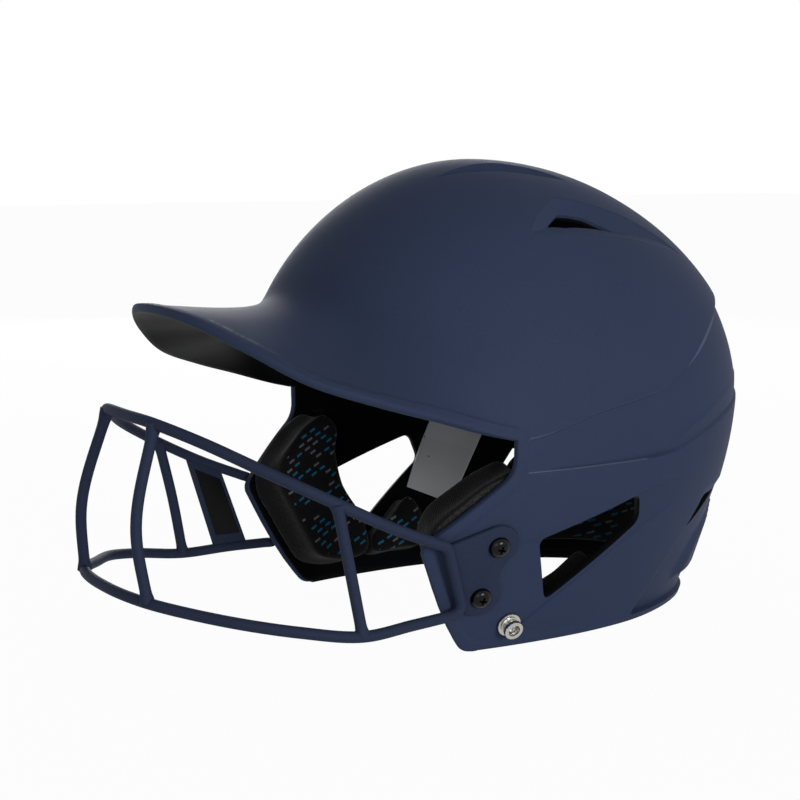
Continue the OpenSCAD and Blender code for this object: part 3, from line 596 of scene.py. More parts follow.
# %% Cut the upper map
RING_STEP, RING_SPACING = 1.9, 2.2
EDGE_ROOM, VENT_ROOM, BAND_ROOM = 0.8, 0.9, 0.7
upper_points = [np.zeros((1, 2))]
for r in np.arange(RING_STEP, MAP_R - EDGE_ROOM, RING_STEP):
    n = int(2 * np.pi * r / RING_SPACING)
    upper_points.append(polar(np.arange(n) * 360 / n, r / MAP_R))
upper_points = np.vstack(upper_points)
VISOR_A = np.linspace(-CORNER_A, CORNER_A, 121)
edge_a = np.concatenate([SEAM_A, VISOR_A[1:-1] + 360])
upper_outline = polar(edge_a, 1.0)
vent_loops = [loop for vent in vents for loop in vent]
in_vent = np.any([inside(outline, upper_points) for outline, _ in vents], axis=0)
upper_points = clear_of(vent_loops + [upper_outline], upper_points[~in_vent], VENT_ROOM)

RIM_BAND = 4.4


def in_from_edge(a, distance):
    """A line on the upper map at a distance in space from its edge."""
    per_t = np.linalg.norm(upper(a, 1.0) - upper(a, 0.97), axis=-1) / 0.03
    return polar(a, 1 - distance / per_t)


band_lines = [in_from_edge(VISOR_A, RIM_BAND), in_from_edge(VISOR_A, RIM_BAND + RIM_SLOPE)]
band_lines.append(in_from_edge(SEAM_A, CREST_WIDTH)[2:-2])
upper_points = clear_of(band_lines, upper_points, BAND_ROOM)
crease_lines = [line for line, _ in creases]
upper_cut = cut_map([upper_outline] + vent_loops, band_lines + crease_lines, upper_points)
print("upper map:", len(upper_cut[0]), "points,", len(upper_cut[1]), "triangles")

# %% [markdown]
# The lower shell has more to cut: the ear windows, the slits at the nape and round holes for the
# screws and the studs. It also keeps a line along each bevel and crease, because a fold looks
# crisp only where the mesh has an edge on it.

# %% Holes for the screws and the studs
HOLE_R = 3.35
STUD_HOLE_R = 1.7
TAB_A, TAB_Z, TAB_TURN = 60.8, 40.85, 11
SCREW_PITCH = 26
STUD_A, STUD_Z = 68.1, 12.2
tab_origin = dome_point(TAB_A, TAB_Z)
tab_n = wall_normal(TAB_A, TAB_Z)
slope = unit(np.array([0, 0, 1]) - tab_n * tab_n[2])
level = np.cross(slope, tab_n)
s, c = sin_cos(TAB_TURN)
tab_v = level * c - slope * s
tab_u = slope * c + level * s


def tab_at(v, u, h):
    return tab_origin + v * tab_v + u * tab_u + h * tab_n


def hole_loop(centre, axis, r, sides=20):
    """A round hole's outline on the unrolled map, from its place and axis in space."""
    side = unit(np.cross(axis, [0, 0, 1]))
    s, c = sin_cos(np.arange(sides)[:, None] * 360 / sides)
    ring = centre + r * (c * side + s * np.cross(axis, side))
    a = np.degrees(np.arctan2(ring[:, 0], HEAD_Y - ring[:, 1]))
    return unrolled(a, ring[:, 2])


stud_point, stud_n = dome_point(STUD_A, STUD_Z), wall_normal(STUD_A, STUD_Z)
holes = [window, slit, hole_loop(stud_point, stud_n, STUD_HOLE_R)]
holes += [hole_loop(tab_at(0, u, 0), tab_n, HOLE_R) for u in (SCREW_PITCH / 2, -SCREW_PITCH / 2)]
holes += [flipped(loop) for loop in holes]
print("openings in the lower shell:", len(holes))

# %% Lines that the lower map keeps
# The step edges get a lighter paint over these widths: partly rubbed paint, partly a painted highlight
# where the bevels catch the light.
WEAR_HIGHLIGHT_LINE = 0.45
EDGE_WEAR_HIGHLIGHT_TO, PANEL_WEAR_HIGHLIGHT_TO = 156, 106


def wear_highlight_width(a):
    """How far the lighter edge reaches down the step below the dome: partly rubbed paint, partly a
    painted highlight.
    """
    return 0.5 + 4.4 * past(a, 112, 24) * until(a, 158, 14)


line_a = SEAM_A[3:-3]
side_a = wrap(line_a)
edge_z, panel_z, strip = dome_edge(side_a), panel_edge(side_a), strip_width(side_a)
lower_lines = [unrolled(line_a, z) for z in (
    edge_z - edge_bevel(side_a), edge_z - wear_highlight_width(side_a), panel_z + WEAR_HIGHLIGHT_LINE,
    panel_z + 2 * BEVEL + strip, panel_z + BEVEL + strip, panel_z + BEVEL, panel_z,
)]
lower_lines += [unrolled(np.arange(56, 305, 1.0), z) for z in (BEAD_Z, BEAD_Z + RIM_SLOPE)]
for ahead, low_end, high_end in ((0, 6, 57), (2.2, 6, 38)):
    z = np.arange(low_end, high_end, 1.5)
    line = unrolled(nape_edge(z) + ahead, z)
    lower_lines += [line, flipped(line)]
facet_a = np.arange(70, 121, 1.0)
for line in (FACET_TOP, FACET_LOW):
    for drop in (0, FACET_BEVEL):
        z = curve(line, facet_a) + (drop if line is FACET_LOW else -drop)
        left = unrolled(facet_a, z)
        hit_window = inside(window, left)
        for part in np.split(left, np.flatnonzero(np.diff(hit_window.astype(int))) + 1):
            if len(part) > 1 and not inside(window, part[:1])[0]:
                lower_lines += [part, flipped(part)]
print("lines kept in the lower map:", len(lower_lines))

# %% Cut the lower map
GRID_FROM_A = 44
FINE_NEAR, COARSE_PAST, LINE_ROOM = 8, 8.5, 0.75


def grid_of(last_a, top, step):
    """Loose points in rows on the lower map, from its front end to an angle and up to a height."""
    u = np.arange(GRID_FROM_A * MM_PER_DEGREE, last_a * MM_PER_DEGREE, step)
    return columns(*np.meshgrid(u, np.arange(2, top, step))).reshape(-1, 2)


def near(line, points, room):
    return np.array([np.min(np.hypot(*(line - p).T)) < room for p in points])


grid, fine = grid_of(316, 157, 2.0), grid_of(72, 100, 1.1)
fine = fine[near(flap_line, fine, FINE_NEAR)]
beside_flaps = near(flap_line, grid, COARSE_PAST) | near(flipped(flap_line), grid, COARSE_PAST)
points = np.vstack([grid[~beside_flaps], fine, flipped(fine)])
points = points[inside(lower_outline, points)]
points = points[~np.any([inside(loop, points) for loop in holes], axis=0)]
points = clear_of([lower_outline] + holes + lower_lines, points, LINE_ROOM)
lower_cut = cut_map([lower_outline] + holes, lower_lines, points)
print("lower map:", len(lower_cut[0]), "points,", len(lower_cut[1]), "triangles")

# %% [markdown]
# A narrow raised rim runs along the visor and the flaps' front edges. Its height depends on the
# distance to that edge in space, so it passes from one map to the other without a break.

# %% Height of the rim, and distances on a map
RIM_HEIGHT = 0.8
VENT_STEP = 0.15
ON_LINE = 1e-3

front_a = np.linspace(-CORNER_A, CORNER_A, 400)
left_edge = dense(flap_line[flap_line[:, 1] > BOTTOM + 0.1], 0.4, closed=False)
edge_left = dome_point(left_edge[:, 0] / MM_PER_DEGREE, left_edge[:, 1])
edge_points = np.vstack([upper(front_a, 1.0), edge_left, edge_left * [-1, 1, 1]])
edge_tree = tree_of(edge_points)


def rim_height(points):
    far = np.array([edge_tree.find(p)[2] for p in points])
    return RIM_HEIGHT * ramp((RIM_BAND + RIM_SLOPE - far) / RIM_SLOPE)


def to_line(loop, points):
    """Distance from each point on a map to the nearest side of an outline."""
    best = np.full(len(points), np.inf)
    for p, q in zip(loop, np.roll(loop, -1, axis=0)):
        t = ramp((points - p) @ (q - p) / ((q - p) @ (q - p)))
        best = np.minimum(best, np.hypot(*(points - p - t[:, None] * (q - p)).T))
    return best


print("points along the front edge:", len(edge_points))

# %% Raise the upper map
flat, faces, middles = upper_cut
keep = inside(upper_outline, middles)
for _, slot in vents:
    keep &= ~inside(slot, middles)
in_recess = np.zeros(len(faces), bool)
depth = np.zeros(len(flat))
for i, (outline, slot) in enumerate(vents):
    in_recess |= inside(outline, middles)
    mine = inside(outline, flat) | (to_line(outline, flat) < ON_LINE)
    out, down = to_line(outline, flat[mine]), to_line(slot, flat[mine])
    full = REAR_DEPTH if i < 2 else CROWN_DEPTH
    depth[mine] = full * out / (out + down)
for line, falls in creases:
    for p, fall in zip(line[1:-1], falls[1:-1]):
        depth[np.hypot(*(flat - p).T) < ON_LINE] = fall
a, t = unpolar(flat)
base = upper(a, t)
normal = upper_normal(a, t)
beside = base[:, 2] - dome_edge(wrap(a))
edge_line = crest(wrap(a)) * ramp(1 - beside / CREST_WIDTH)
raised = base + normal * (rim_height(base) + edge_line - depth)[:, None]
lining = base - normal * (WALL + depth)[:, None]
upper_faces, upper_recess = faces[keep], in_recess[keep]
print("upper skin:", len(upper_faces), "triangles")

# %% Raise the lower map
flat, faces, middles = lower_cut
keep = inside(lower_outline, middles)
for loop in holes:
    keep &= ~inside(loop, middles)
a, z = flat[:, 0] / MM_PER_DEGREE, flat[:, 1]
under_seam = dome_edge(wrap(a)) - z
seam_gap = np.abs(under_seam)
step = relief(a, z)
normal = wall_normal(a, np.maximum(z, 0.6))
edge_line = crest(wrap(a)) * ramp(1 - under_seam / edge_bevel(a))
bead = BEAD_HEIGHT * ramp((BEAD_Z + RIM_SLOPE - z) / RIM_SLOPE)
proud = np.maximum(rim_height(dome_point(a, z)), bead) + edge_line
low_raised = dome_point(a, z, step) + normal * proud[:, None]
low_lining = dome_point(a, z, np.minimum(step, 0)) - WALL * normal
low_lining[:, 2] = np.where(z < BOTTOM + 0.01, BOTTOM, low_lining[:, 2])
lower_faces = faces[keep]
a, z = middles[keep, 0] / MM_PER_DEGREE, middles[keep, 1]
a = np.abs(wrap(a))
under_seam, above_panel = dome_edge(a) - z, z - panel_edge(a)
# Faces along the dome's edge and the panel's top are painted lighter: rubbed paint, and a painted
# highlight where the bevel catches the light, widest at the back.
on_edge_line = (under_seam < wear_highlight_width(a)) & (a < EDGE_WEAR_HIGHLIGHT_TO)
on_panel_line = (above_panel > 0) & (above_panel < WEAR_HIGHLIGHT_LINE) & (a < PANEL_WEAR_HIGHLIGHT_TO)
wear_highlight_faces = (a > CORNER_A + 3) & (on_edge_line | on_panel_line)
print("outer skin:", len(upper_faces) + len(lower_faces), "triangles")

# %% [markdown]
# The two maps meet along the dome's lower edge, where they have the same points. Each such point
# of the lower map is swapped for its twin, and the skin is then one sheet. Its inner side is the
# same sheet moved in by the wall. Wherever a triangle's side has no neighbour there is an edge,
# and a rounded rim is built from the outer to the inner side.

# %% Join the maps into one wall
tree = tree_of(raised)
swap = np.arange(len(low_raised)) + len(raised)
on_seam = (seam_gap < ON_LINE) & (flat[:, 1] > 90)
for i in np.flatnonzero(on_seam):
    _, twin, gap = tree.find(low_raised[i])
    assert gap < 0.02, (i, gap)
    swap[i] = twin
outer = np.vstack([raised, low_raised])
inner = np.vstack([lining, low_lining])
skin = np.vstack([upper_faces, swap[lower_faces]])
recess = np.concatenate([upper_recess, np.zeros(len(lower_faces), bool)])
normals = np.vstack([upper_normal(*unpolar(upper_cut[0])), normal])
print("points on the seam:", int(on_seam.sum()))


# %% Paint the outer skin, and step it down at the vents
def open_sides(faces):
    """Sides (i, j) of triangles that have no neighbour."""
    sides = np.vstack([faces[:, [0, 1]], faces[:, [1, 2]], faces[:, [2, 0]]])
    n = faces.max() + 1
    twin = np.isin(sides[:, 0] * n + sides[:, 1], sides[:, 1] * n + sides[:, 0])
    return sides[~twin]


# The third material is that lighter edge paint, a painted highlight as well as rubbed paint.
PAINT, PLASTIC, WEAR_HIGHLIGHT = 0, 1, 2
count = len(outer)
verts = [outer, inner]
total = 2 * count
shell_faces = [tuple(f) for f in skin[:, ::-1] + count]
face_paint = [PLASTIC] * len(shell_faces)

around = {(i, j) for i, j in open_sides(skin[~recess])}
within = {(j, i) for i, j in open_sides(skin[recess])}
step_sides = sorted(around & within)
stepped = {i: total + k for k, (i, _) in enumerate(step_sides)}
order = np.array(list(stepped))
verts.append(outer[order] - VENT_STEP * normals[order])
total += len(order)
outer_faces = [
    tuple(stepped.get(i, i) if low else i for i in f) for f, low in zip(skin.tolist(), recess)
]
outer_faces += [(j, i, stepped[i], stepped[j]) for i, j in step_sides]
shell_faces += outer_faces
# The lighter faces carry the painted highlight and the rubbed paint of the step edges.
lightened = np.concatenate([np.zeros(len(upper_faces), bool), wear_highlight_faces])
face_paint += [WEAR_HIGHLIGHT if w else PAINT for w in lightened] + [PAINT] * len(step_sides)
print("sides along the vents' steps:", len(step_sides))

# %% Round the rims and finish the shell's mesh
RIM_STEPS, INNER_BULGE = 6, 0.25
rim_sides = open_sides(skin)
after = dict(rim_sides.tolist())
before = {j: i for i, j in after.items()}
rim = np.array(sorted(after))
along = unit(outer[[after[i] for i in rim]] - outer[[before[i] for i in rim]])
outward = unit(np.cross(along, normals[rim]))
is_vent = np.zeros(count, bool)
is_vent[: len(upper_cut[0])] = depth > 0
tip = int(np.argmin(outer[:, 1]))
front_edge = [tip]
while after[front_edge[-1]] != tip:
    front_edge.append(after[front_edge[-1]])
on_edge = np.isin(rim, front_edge)
bulge = np.where(on_edge, RIM_BULGE, np.where(is_vent[rim], 0, INNER_BULGE))[:, None]
rim_at = {i: k for k, i in enumerate(rim.tolist())}
painted = dict.fromkeys(rim[is_vent[rim]].tolist(), RIM_STEPS // 2)
painted.update(dict.fromkeys(rim[on_edge].tolist(), RIM_STEPS - 1))
levels = []
for k in range(1, RIM_STEPS):
    turned = np.pi * k / RIM_STEPS
    middle, half = (outer[rim] + inner[rim]) / 2, (outer[rim] - inner[rim]) / 2
    levels.append(middle + half * np.cos(turned) + outward * bulge * np.sin(turned))
    levels[-1][:, 2] = np.maximum(levels[-1][:, 2], 0)


def rim_index(i, level):
    if level == 0:
        return i
    if level == RIM_STEPS:
        return i + count
    return total + (level - 1) * len(rim) + rim_at[i]


for i, j in rim_sides.tolist():
    for k in range(RIM_STEPS):
        low, high = (rim_index(j, k), rim_index(i, k)), (rim_index(i, k + 1), rim_index(j, k + 1))
        shell_faces.append(low + high)
        face_paint.append(PAINT if k < painted.get(i, 0) else PLASTIC)
shell_verts = np.vstack(verts + levels)
print("shell mesh:", len(shell_faces), "faces")

# %% [markdown]
# One helper turns numpy points and faces into an object: it drops points that no face uses,
# shades the mesh smooth with sharp edges kept, and gives it its materials. A second one mirrors
# a piece to the wearer's other side.

# %% Make an object from points and faces
SIDES = (("left", False), ("right", True))
TO_RIGHT = (-1, 1, 1)
SHARP = 38


def tube_faces(rings, n, closed=False):
    """Faces between rings of n points each, closed to a loop or with a cap at both ends."""
    faces = []
    for i in range(rings if closed else rings - 1):
        low, high = i * n, (i + 1) % rings * n
        faces += [(low + k, low + (k + 1) % n, high + (k + 1) % n, high + k) for k in range(n)]
    if not closed:
        faces += [tuple(range(n - 1, -1, -1)), tuple(range((rings - 1) * n, rings * n))]
    return faces


def make_piece(name, verts, faces, finishes, paint=None, sharp=SHARP, mirror=False):
    used = sorted({i for f in faces for i in f})
    place = {old: new for new, old in enumerate(used)}
    points = np.asarray(verts, float)[used] * MM
    faces = [tuple(place[i] for i in f) for f in faces]
    if mirror:
        points = points * TO_RIGHT
        faces = [f[::-1] for f in faces]
    mesh = bpy.data.meshes.new(name)
    mesh.from_pydata(points.tolist(), [], faces)
    for finish in finishes:
        mesh.materials.append(finish)
    if paint is not None:
        mesh.polygons.foreach_set("material_index", paint)
    mesh.polygons.foreach_set("use_smooth", [True] * len(mesh.polygons))
    mesh.set_sharp_from_angle(angle=radians(sharp))
    mesh.validate()
    piece = bpy.data.objects.new(name, mesh)
    link(piece)
    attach(piece, "root")
    return piece


print("a closed tube of 3 rings has", len(tube_faces(3, 8, closed=True)), "faces")

# %% [markdown]
# Materials are built from nodes. To keep the arithmetic readable, a small class wraps a node's
# output, so that adding or multiplying two of them adds the Math node. One method makes any
# other node from its settings and inputs.

# %% Nodes as expressions
def linear(*srgb):
    """A colour given as it looks on screen, 0 to 255, as Blender's linear colour."""
    part = [c / 255 for c in srgb]
    return [c / 12.92 if c <= 0.04045 else ((c + 0.055) / 1.055) ** 2.4 for c in part] + [1]


class Wire:
    """A node's output that can be added, subtracted and multiplied."""

    def __init__(self, finish, socket):
        self.finish = finish
        self.socket = socket

    def math(self, operation, *values):
        return self.finish.node("Math", {"operation": operation}, dict(enumerate(values)))

    def __add__(self, other):
        return self.math("ADD", self, other)

    def __sub__(self, other):
        return self.math("SUBTRACT", self, other)

    def __mul__(self, other):
        return self.math("MULTIPLY", self, other)

    def __rsub__(self, other):
        return self.math("SUBTRACT", other, self)

    def __gt__(self, other):
        return self.math("GREATER_THAN", self, other)

    def __lt__(self, other):
        return self.math("LESS_THAN", self, other)

    __radd__ = __add__
    __rmul__ = __mul__


print("black and white become", linear(0, 0, 0)[0], "and", linear(255, 255, 255)[0])

# %% A finish and its nodes
class Finish:
    """A material with one Principled shader and the nodes that feed it."""

    def __init__(self, name, **constants):
        self.material = bpy.data.materials.new(name)
        self.material.use_nodes = True
        self.tree = self.material.node_tree
        self.tree.nodes.clear()
        self.output = self.tree.nodes.new("ShaderNodeOutputMaterial")
        self.shader = self.tree.nodes.new("ShaderNodeBsdfPrincipled")
        self.tree.links.new(self.shader.outputs[0], self.output.inputs[0])
        self.set(self.shader, {k.replace("_", " "): v for k, v in constants.items()})
        self.place = self.node("TexCoord", {}, {}, "Object")

    def set(self, node, values):
        for key, value in values.items():
            if isinstance(value, Wire):
                self.tree.links.new(value.socket, node.inputs[key])
            elif value is not None:
                node.inputs[key].default_value = value

    def node(self, kind, settings, values, output=0):
        made = self.tree.nodes.new("ShaderNode" + kind)
        for key, value in settings.items():
            if key == "stops":
                for k, (at, colour) in enumerate(value):
                    stops = made.color_ramp.elements
                    stop = stops[k] if k < len(stops) else stops.new(at)
                    stop.position, stop.color = at, colour
            else:
                setattr(made, key, value)
        self.set(made, values)
        return Wire(self, made.outputs[output])

    def noise(self, scale, detail=2.0, at=None):
        values = {"Vector": at or self.place, "Scale": scale, "Detail": detail}
        return self.node("TexNoise", {}, values, "Fac")

    def mix(self, share, low, high):
        return self.node("Mix", {"data_type": "RGBA"}, {0: share, 6: low, 7: high}, 2)

    def paint(self, **links):
        self.set(self.shader, {k.replace("_", " "): v for k, v in links.items()})

    def bump(self, height, distance):
        values = {"Strength": 1.0, "Distance": distance, "Height": height}
        self.paint(Normal=self.node("Bump", {}, values))


print("a node class and a colour helper are ready")

# %% [markdown]
# The paint is matt and slightly rough to the touch: a dark blue whose tone shifts a little from
# place to place, with a very fine grain that breaks up the highlights. On the shell's two steps
# the edge is painted lighter: partly rubbed paint, partly a painted highlight where the bevel
# catches the light. The grain could be an image, but noise in the object's own space needs no
# unwrapping and has no seams.

# %% Shell paint and bare plastic
def matt_paint(name, tone, grain=1.0, lightened=0.08):
    finish = Finish(name, Specular_IOR_Level=0.035)
    cloud, speck = finish.noise(14, 3), finish.noise(1500, 1)
    shade = finish.mix(cloud, *[linear(*[c * k for c in tone]) for k in (0.94, 1.05)])
    finish.paint(Base_Color=finish.mix(speck * lightened, shade, linear(104, 116, 142)))
    finish.paint(Roughness=0.5 + 0.1 * speck + 0.05 * cloud)
    finish.bump(finish.noise(1800, 2), 0.00005 * grain)
    return finish.material


NAVY = (45, 54, 78)
shell_paint = matt_paint("shell_paint", NAVY)
# Lighter paint for the step edges: partly rubbed paint, partly a painted highlight.
wear_highlight_paint = matt_paint("edge_wear_highlight_paint", (68, 77, 97), lightened=0.35)
guard_paint = matt_paint("guard_paint", (38, 45, 65), 1.6)


def flecked(name, wear, tones, rough, grain, **constants):
    """A finish whose tone and roughness shift with one noise, over a fine grain."""
    finish = Finish(name, **constants)
    fleck = finish.noise(*wear)
    finish.paint(Base_Color=finish.mix(fleck, *[linear(*tone) for tone in tones]))
    finish.paint(Roughness=rough[0] + rough[1] * fleck)
    finish.bump(finish.noise(grain[0], 2), grain[1])
    return finish.material


bare_plastic = flecked(
    "bare_plastic", (60, 4), [(10, 11, 13), (17, 18, 21)], (0.38, 0.12), (900, 0.00003),
    Specular_IOR_Level=0.03,
)
print("paints:", [m.name for m in bpy.data.materials if "paint" in m.name])

# %% [markdown]
# The paint stops at the helmet's rim, and bare plastic shows inside. One mesh with three
# materials, chosen face by face, is simpler than separate skins. Edges are shaded sharp from 38
# degrees on, and inside the vents already from 9, so that their creases catch the light.

# %% The shell
CREASE = 9
shell_finishes = [shell_paint, bare_plastic, wear_highlight_paint]
shell = make_piece("helmet_shell", shell_verts, shell_faces, shell_finishes, face_paint)
crisp = bmesh.new()
crisp.from_mesh(shell.data)
first = len(skin)
for side in crisp.edges:
    beside = [f.index - first for f in side.link_faces]
    in_vent = len(beside) == 2 and all(0 <= k < len(recess) and recess[k] for k in beside)
    if in_vent and side.calc_face_angle() > radians(CREASE):
        side.smooth = False
crisp.to_mesh(shell.data)
crisp.free()
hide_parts("shell")
print("shell size:", [round(d / MM, 1) for d in shell.dimensions], "mm")

# %% [markdown]
# The guard is bent from round wire: one closed hoop, two bars in front and one at each side. A
# line through knots is followed by a ring of points, which is how a sweep along a curve works.
# The numbers are the solid model's own, but the ring is finer and the corners are bent tighter.
# A curve object with a bevel would make plain wire too, but this wire also swells at its welds.

# %% Wire lines
GUARD_FRONT = 192
WIRE_D = 5
GAP = 0.3
DRAWN_X, DRAWN_Y = 90.55, -49.15
HOOP_TOP = [
    [0, -179.8, 108.6], [25.2, -177.5, 107.8], [48, -166.5, 102], [72, -149.8, 92],
    [88.4, -125, 78.6], [91.5, -100, 66],
]
HOOP_CORNERS = [[-25, 10.75, 0.2], [-6.25, -21, 0.3]]
BEND_R, BEND_LEAD = 4, 4
HOOP_LOW = [
    [86.8, -87, 21.2], [88.5, -113, 20.6], [83, -140, 25.2], [73, -158, 28.5],
    [56, -172.5, 30.7], [35, -186.5, 33.4], [16, -191.2, 34.2], [0, -192, 34.3],
]
CENTER_MIDDLE = [30.6, -189.1, 62.9]
SIDE_MIDDLE = [87.6, -118.5, 49.5]
GUARD_INSIDE = [0, -120, 55]
HOOP_STEPS = 12
print("knots given for half the hoop:", len(HOOP_TOP) + len(HOOP_LOW))

# %% A smooth line through knots
def guard_place(p):
    tab_y = tab_origin[1] - HEAD_Y
    across = (tab_origin[0] + WIRE_D / 2) / DRAWN_X
    ahead = (GUARD_FRONT + tab_y) / (GUARD_FRONT + DRAWN_Y)
    return np.array([p[0] * across, tab_origin[1] + (p[1] - DRAWN_Y) * ahead, p[2]])


def knot_slope(p0, p1, p2):
    h0, h1 = np.linalg.norm(p1 - p0), np.linalg.norm(p2 - p1)
    return ((p1 - p0) * h1 / h0 + (p2 - p1) * h0 / h1) / (h0 + h1)


def hermite(p1, p2, s1, s2, t):
    h = np.linalg.norm(p2 - p1)
    near = p1 * (1 + 2 * t) + s1 * h * t
    return near * (1 - t) ** 2 + (p2 * (3 - 2 * t) - s2 * h * (1 - t)) * t**2


def closed_line(knots, steps):
    n = len(knots)
    out = []
    for i in range(n):
        p0, p1, p2, p3 = (knots[(i + k) % n] for k in (-1, 0, 1, 2))
        slopes = knot_slope(p0, p1, p2), knot_slope(p1, p2, p3)
        out += [hermite(p1, p2, *slopes, k / steps) for k in range(steps)]
    return np.array(out)


def bend(before, corner, after):
    """Knots for a tight round bend of the wire at a corner between two straight runs."""
    back, on = unit(before - corner), unit(after - corner)
    half = np.arccos(np.clip(back @ on, -1, 1)) / 2
    run = BEND_R / np.tan(half)
    middle = corner + unit(back + on) * BEND_R * (1 / np.sin(half) - 1)
    starts = [corner + back * (run + BEND_LEAD), corner + back * run]
    return [*starts, middle, corner + on * run, corner + on * (run + BEND_LEAD)]


print("middle of the hoop's upper run:", guard_place(HOOP_TOP[0]).round(1))

# %% The hoop's line
hoop_top = [guard_place(p) for p in HOOP_TOP]
hoop_low = [guard_place(p) for p in HOOP_LOW]
corner_up, corner_down = (tab_at(v, u, h + GAP + WIRE_D / 2) for v, u, h in HOOP_CORNERS)
hoop_left = hoop_top + bend(hoop_top[-1], corner_up, corner_down)
hoop_left += bend(corner_up, corner_down, hoop_low[0]) + hoop_low
SIDE_LOW = len(hoop_left) - len(hoop_low) + 1
hoop_knots = hoop_left + [p * TO_RIGHT for p in hoop_left[-2:0:-1]]
hoop_path = closed_line(hoop_knots, HOOP_STEPS)
print("hoop's wire is", round(np.linalg.norm(np.diff(hoop_path, axis=0), axis=1).sum()), "mm long")


# %% Sweep the wires
def sweep(path, radii, sides=20, closed=False):
    n = len(path)
    ahead, behind = np.roll(path, -1, axis=0), np.roll(path, 1, axis=0)
    run = unit(ahead - behind if closed else np.gradient(path, axis=0))
    across = unit(np.cross(run, path - guard_place(GUARD_INSIDE)))
    s, c = sin_cos(np.arange(sides)[:, None] * 360 / sides)
    ring = c * across[:, None] + s * np.cross(across, run)[:, None]
    verts = path[:, None] + np.broadcast_to(radii, n)[:, None, None] * ring
    return verts.reshape(-1, 3), tube_faces(n, sides, closed)


def bar_path(top, middle, bottom, steps=16):
    p0, p1, p2 = hoop_left[top], guard_place(middle), hoop_left[bottom]
    knots = [2 * p0 - p1, p0, p1, p2, 2 * p2 - p1]
    slopes = [knot_slope(*knots[k : k + 3]) for k in range(3)]
    upper_half = [hermite(p0, p1, *slopes[:2], k / steps) for k in range(steps)]
    lower_half = [hermite(p1, p2, *slopes[1:], k / steps) for k in range(steps + 1)]
    return np.array(upper_half + lower_half)


WELD_SWELL, WELD_POINTS = 0.9, 1.6
hoop = make_piece("guard_hoop_wire", *sweep(hoop_path, WIRE_D / 2, closed=True), [guard_paint])
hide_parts("guard_hoop")
last = len(hoop_left) - 1
bars = [("center", 1, CENTER_MIDDLE, last - 2), ("side", 4, SIDE_MIDDLE, SIDE_LOW)]
for side, mirror in SIDES:
    for name, top, middle, bottom in bars:
        path = bar_path(top, middle, bottom)
        from_end = np.minimum(np.arange(len(path)), np.arange(len(path))[::-1])
        weld = WELD_SWELL * np.exp(-((from_end / WELD_POINTS) ** 2))
        wire = sweep(path, WIRE_D / 2 + weld)
        bar = make_piece(f"{name}_bar_wire_{side}", *wire, [guard_paint], mirror=mirror)
        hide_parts(f"guard_{name}_bar_{side}")

# %% [markdown]
# On the wearer's right a flat plate joins the hoop's upper and lower runs, and carries a blank
# label on its inner side. The two runs aren't parallel, so the plate is slightly twisted. It is
# laid out as a grid between its four corners, which makes the twist smooth.

# %% The plate and its label
PLATE_W, PLATE_T = 16, 2
LABEL_T, LABEL_MARGIN, LABEL_GAP = 0.3, 2, 0.1
PLATE_KNOTS = (len(hoop_top) - 1, SIDE_LOW - 1)


def twisted_strip(half_w, low, high, shrink, steps=10):
    """A strip between two of the hoop's knots, from one height over its middle to another."""
    runs = [unit(knot_slope(*hoop_left[k - 1 : k + 2])) for k in PLATE_KNOTS]
    top, bottom = (hoop_left[k] for k in PLATE_KNOTS)
    long = unit(top - bottom)
    out = unit(np.cross(long, runs[0]))
    wide = np.cross(out, long)
    down, across = np.meshgrid(*[np.linspace(0, 1, steps + 1)] * 2, indexing="ij")
    down, across = down[..., None], across[..., None]
    rows = []
    for middle, run in ((top - shrink * long, runs[0]), (bottom + shrink * long, runs[1])):
        side = run * half_w / (run @ wide)
        rows.append((1 - across) * (middle - side) + across * (middle + side))
    sheet = ((1 - down) * rows[0] + down * rows[1]).reshape(-1, 3)
    at = np.arange(len(sheet)).reshape(steps + 1, steps + 1)
    quads = columns(at[:-1, :-1], at[1:, :-1], at[1:, 1:], at[:-1, 1:]).reshape(-1, 4)
    border = [*at[0], *at[1:, -1], *at[-1, -2::-1], *at[-2:0:-1, 0]]
    faces = (quads + at.size).tolist() + quads[:, ::-1].tolist()
    faces += [(i, i + at.size, j + at.size, j) for i, j in zip(border, border[1:] + border[:1])]
    p, q, r = sheet[quads[0, :3]]
    if np.cross(q - p, r - p) @ out < 0:
        faces = [f[::-1] for f in faces]
    return np.vstack([sheet + out * low, sheet + out * high]), faces


plate_mesh = twisted_strip(PLATE_W / 2, -PLATE_T / 2, PLATE_T / 2, 0)
label_plate = make_piece("label_plate_right", *plate_mesh, [guard_paint], mirror=True)
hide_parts("guard_label_plate")
label_low = PLATE_T / 2 + LABEL_GAP
label_mesh = twisted_strip(
    PLATE_W / 2 - LABEL_MARGIN, label_low, label_low + LABEL_T, WIRE_D + LABEL_MARGIN
)
print("label's first corner:", (label_mesh[0][0] * TO_RIGHT).round(2))

# %% [markdown]
# A tab is a flat plate with two round lobes and a waist between them. Its outline is drawn with
# arcs, and the plate is built as rings: a slightly smaller one at its foot, straight sides, then
# two smaller ones that round the upper edge, which catches the light on the real one. A bevel
# modifier would round it too, but the rings say exactly where the edge goes.

# %% Guard tabs
TAB_T = 2
LOBE_R = 10
WAIST_R = 12
SCREWS_U = (SCREW_PITCH / 2, -SCREW_PITCH / 2)
UPPER_FRONT, LOWER_FRONT = np.array([-22.5, 11.2]), np.array([-6.6, -21.6])


def arc(centre, r, start, end, step=5):
    s, c = sin_cos(np.linspace(start, end, max(2, int(abs(end - start) / step))))
    return np.array(centre) + r * columns(c, s)


def touch_angle(centre, r, p, side):
    d = p - np.array(centre)
    return np.degrees(np.arctan2(d[1], d[0])) + side * np.degrees(np.arccos(r / np.hypot(*d)))


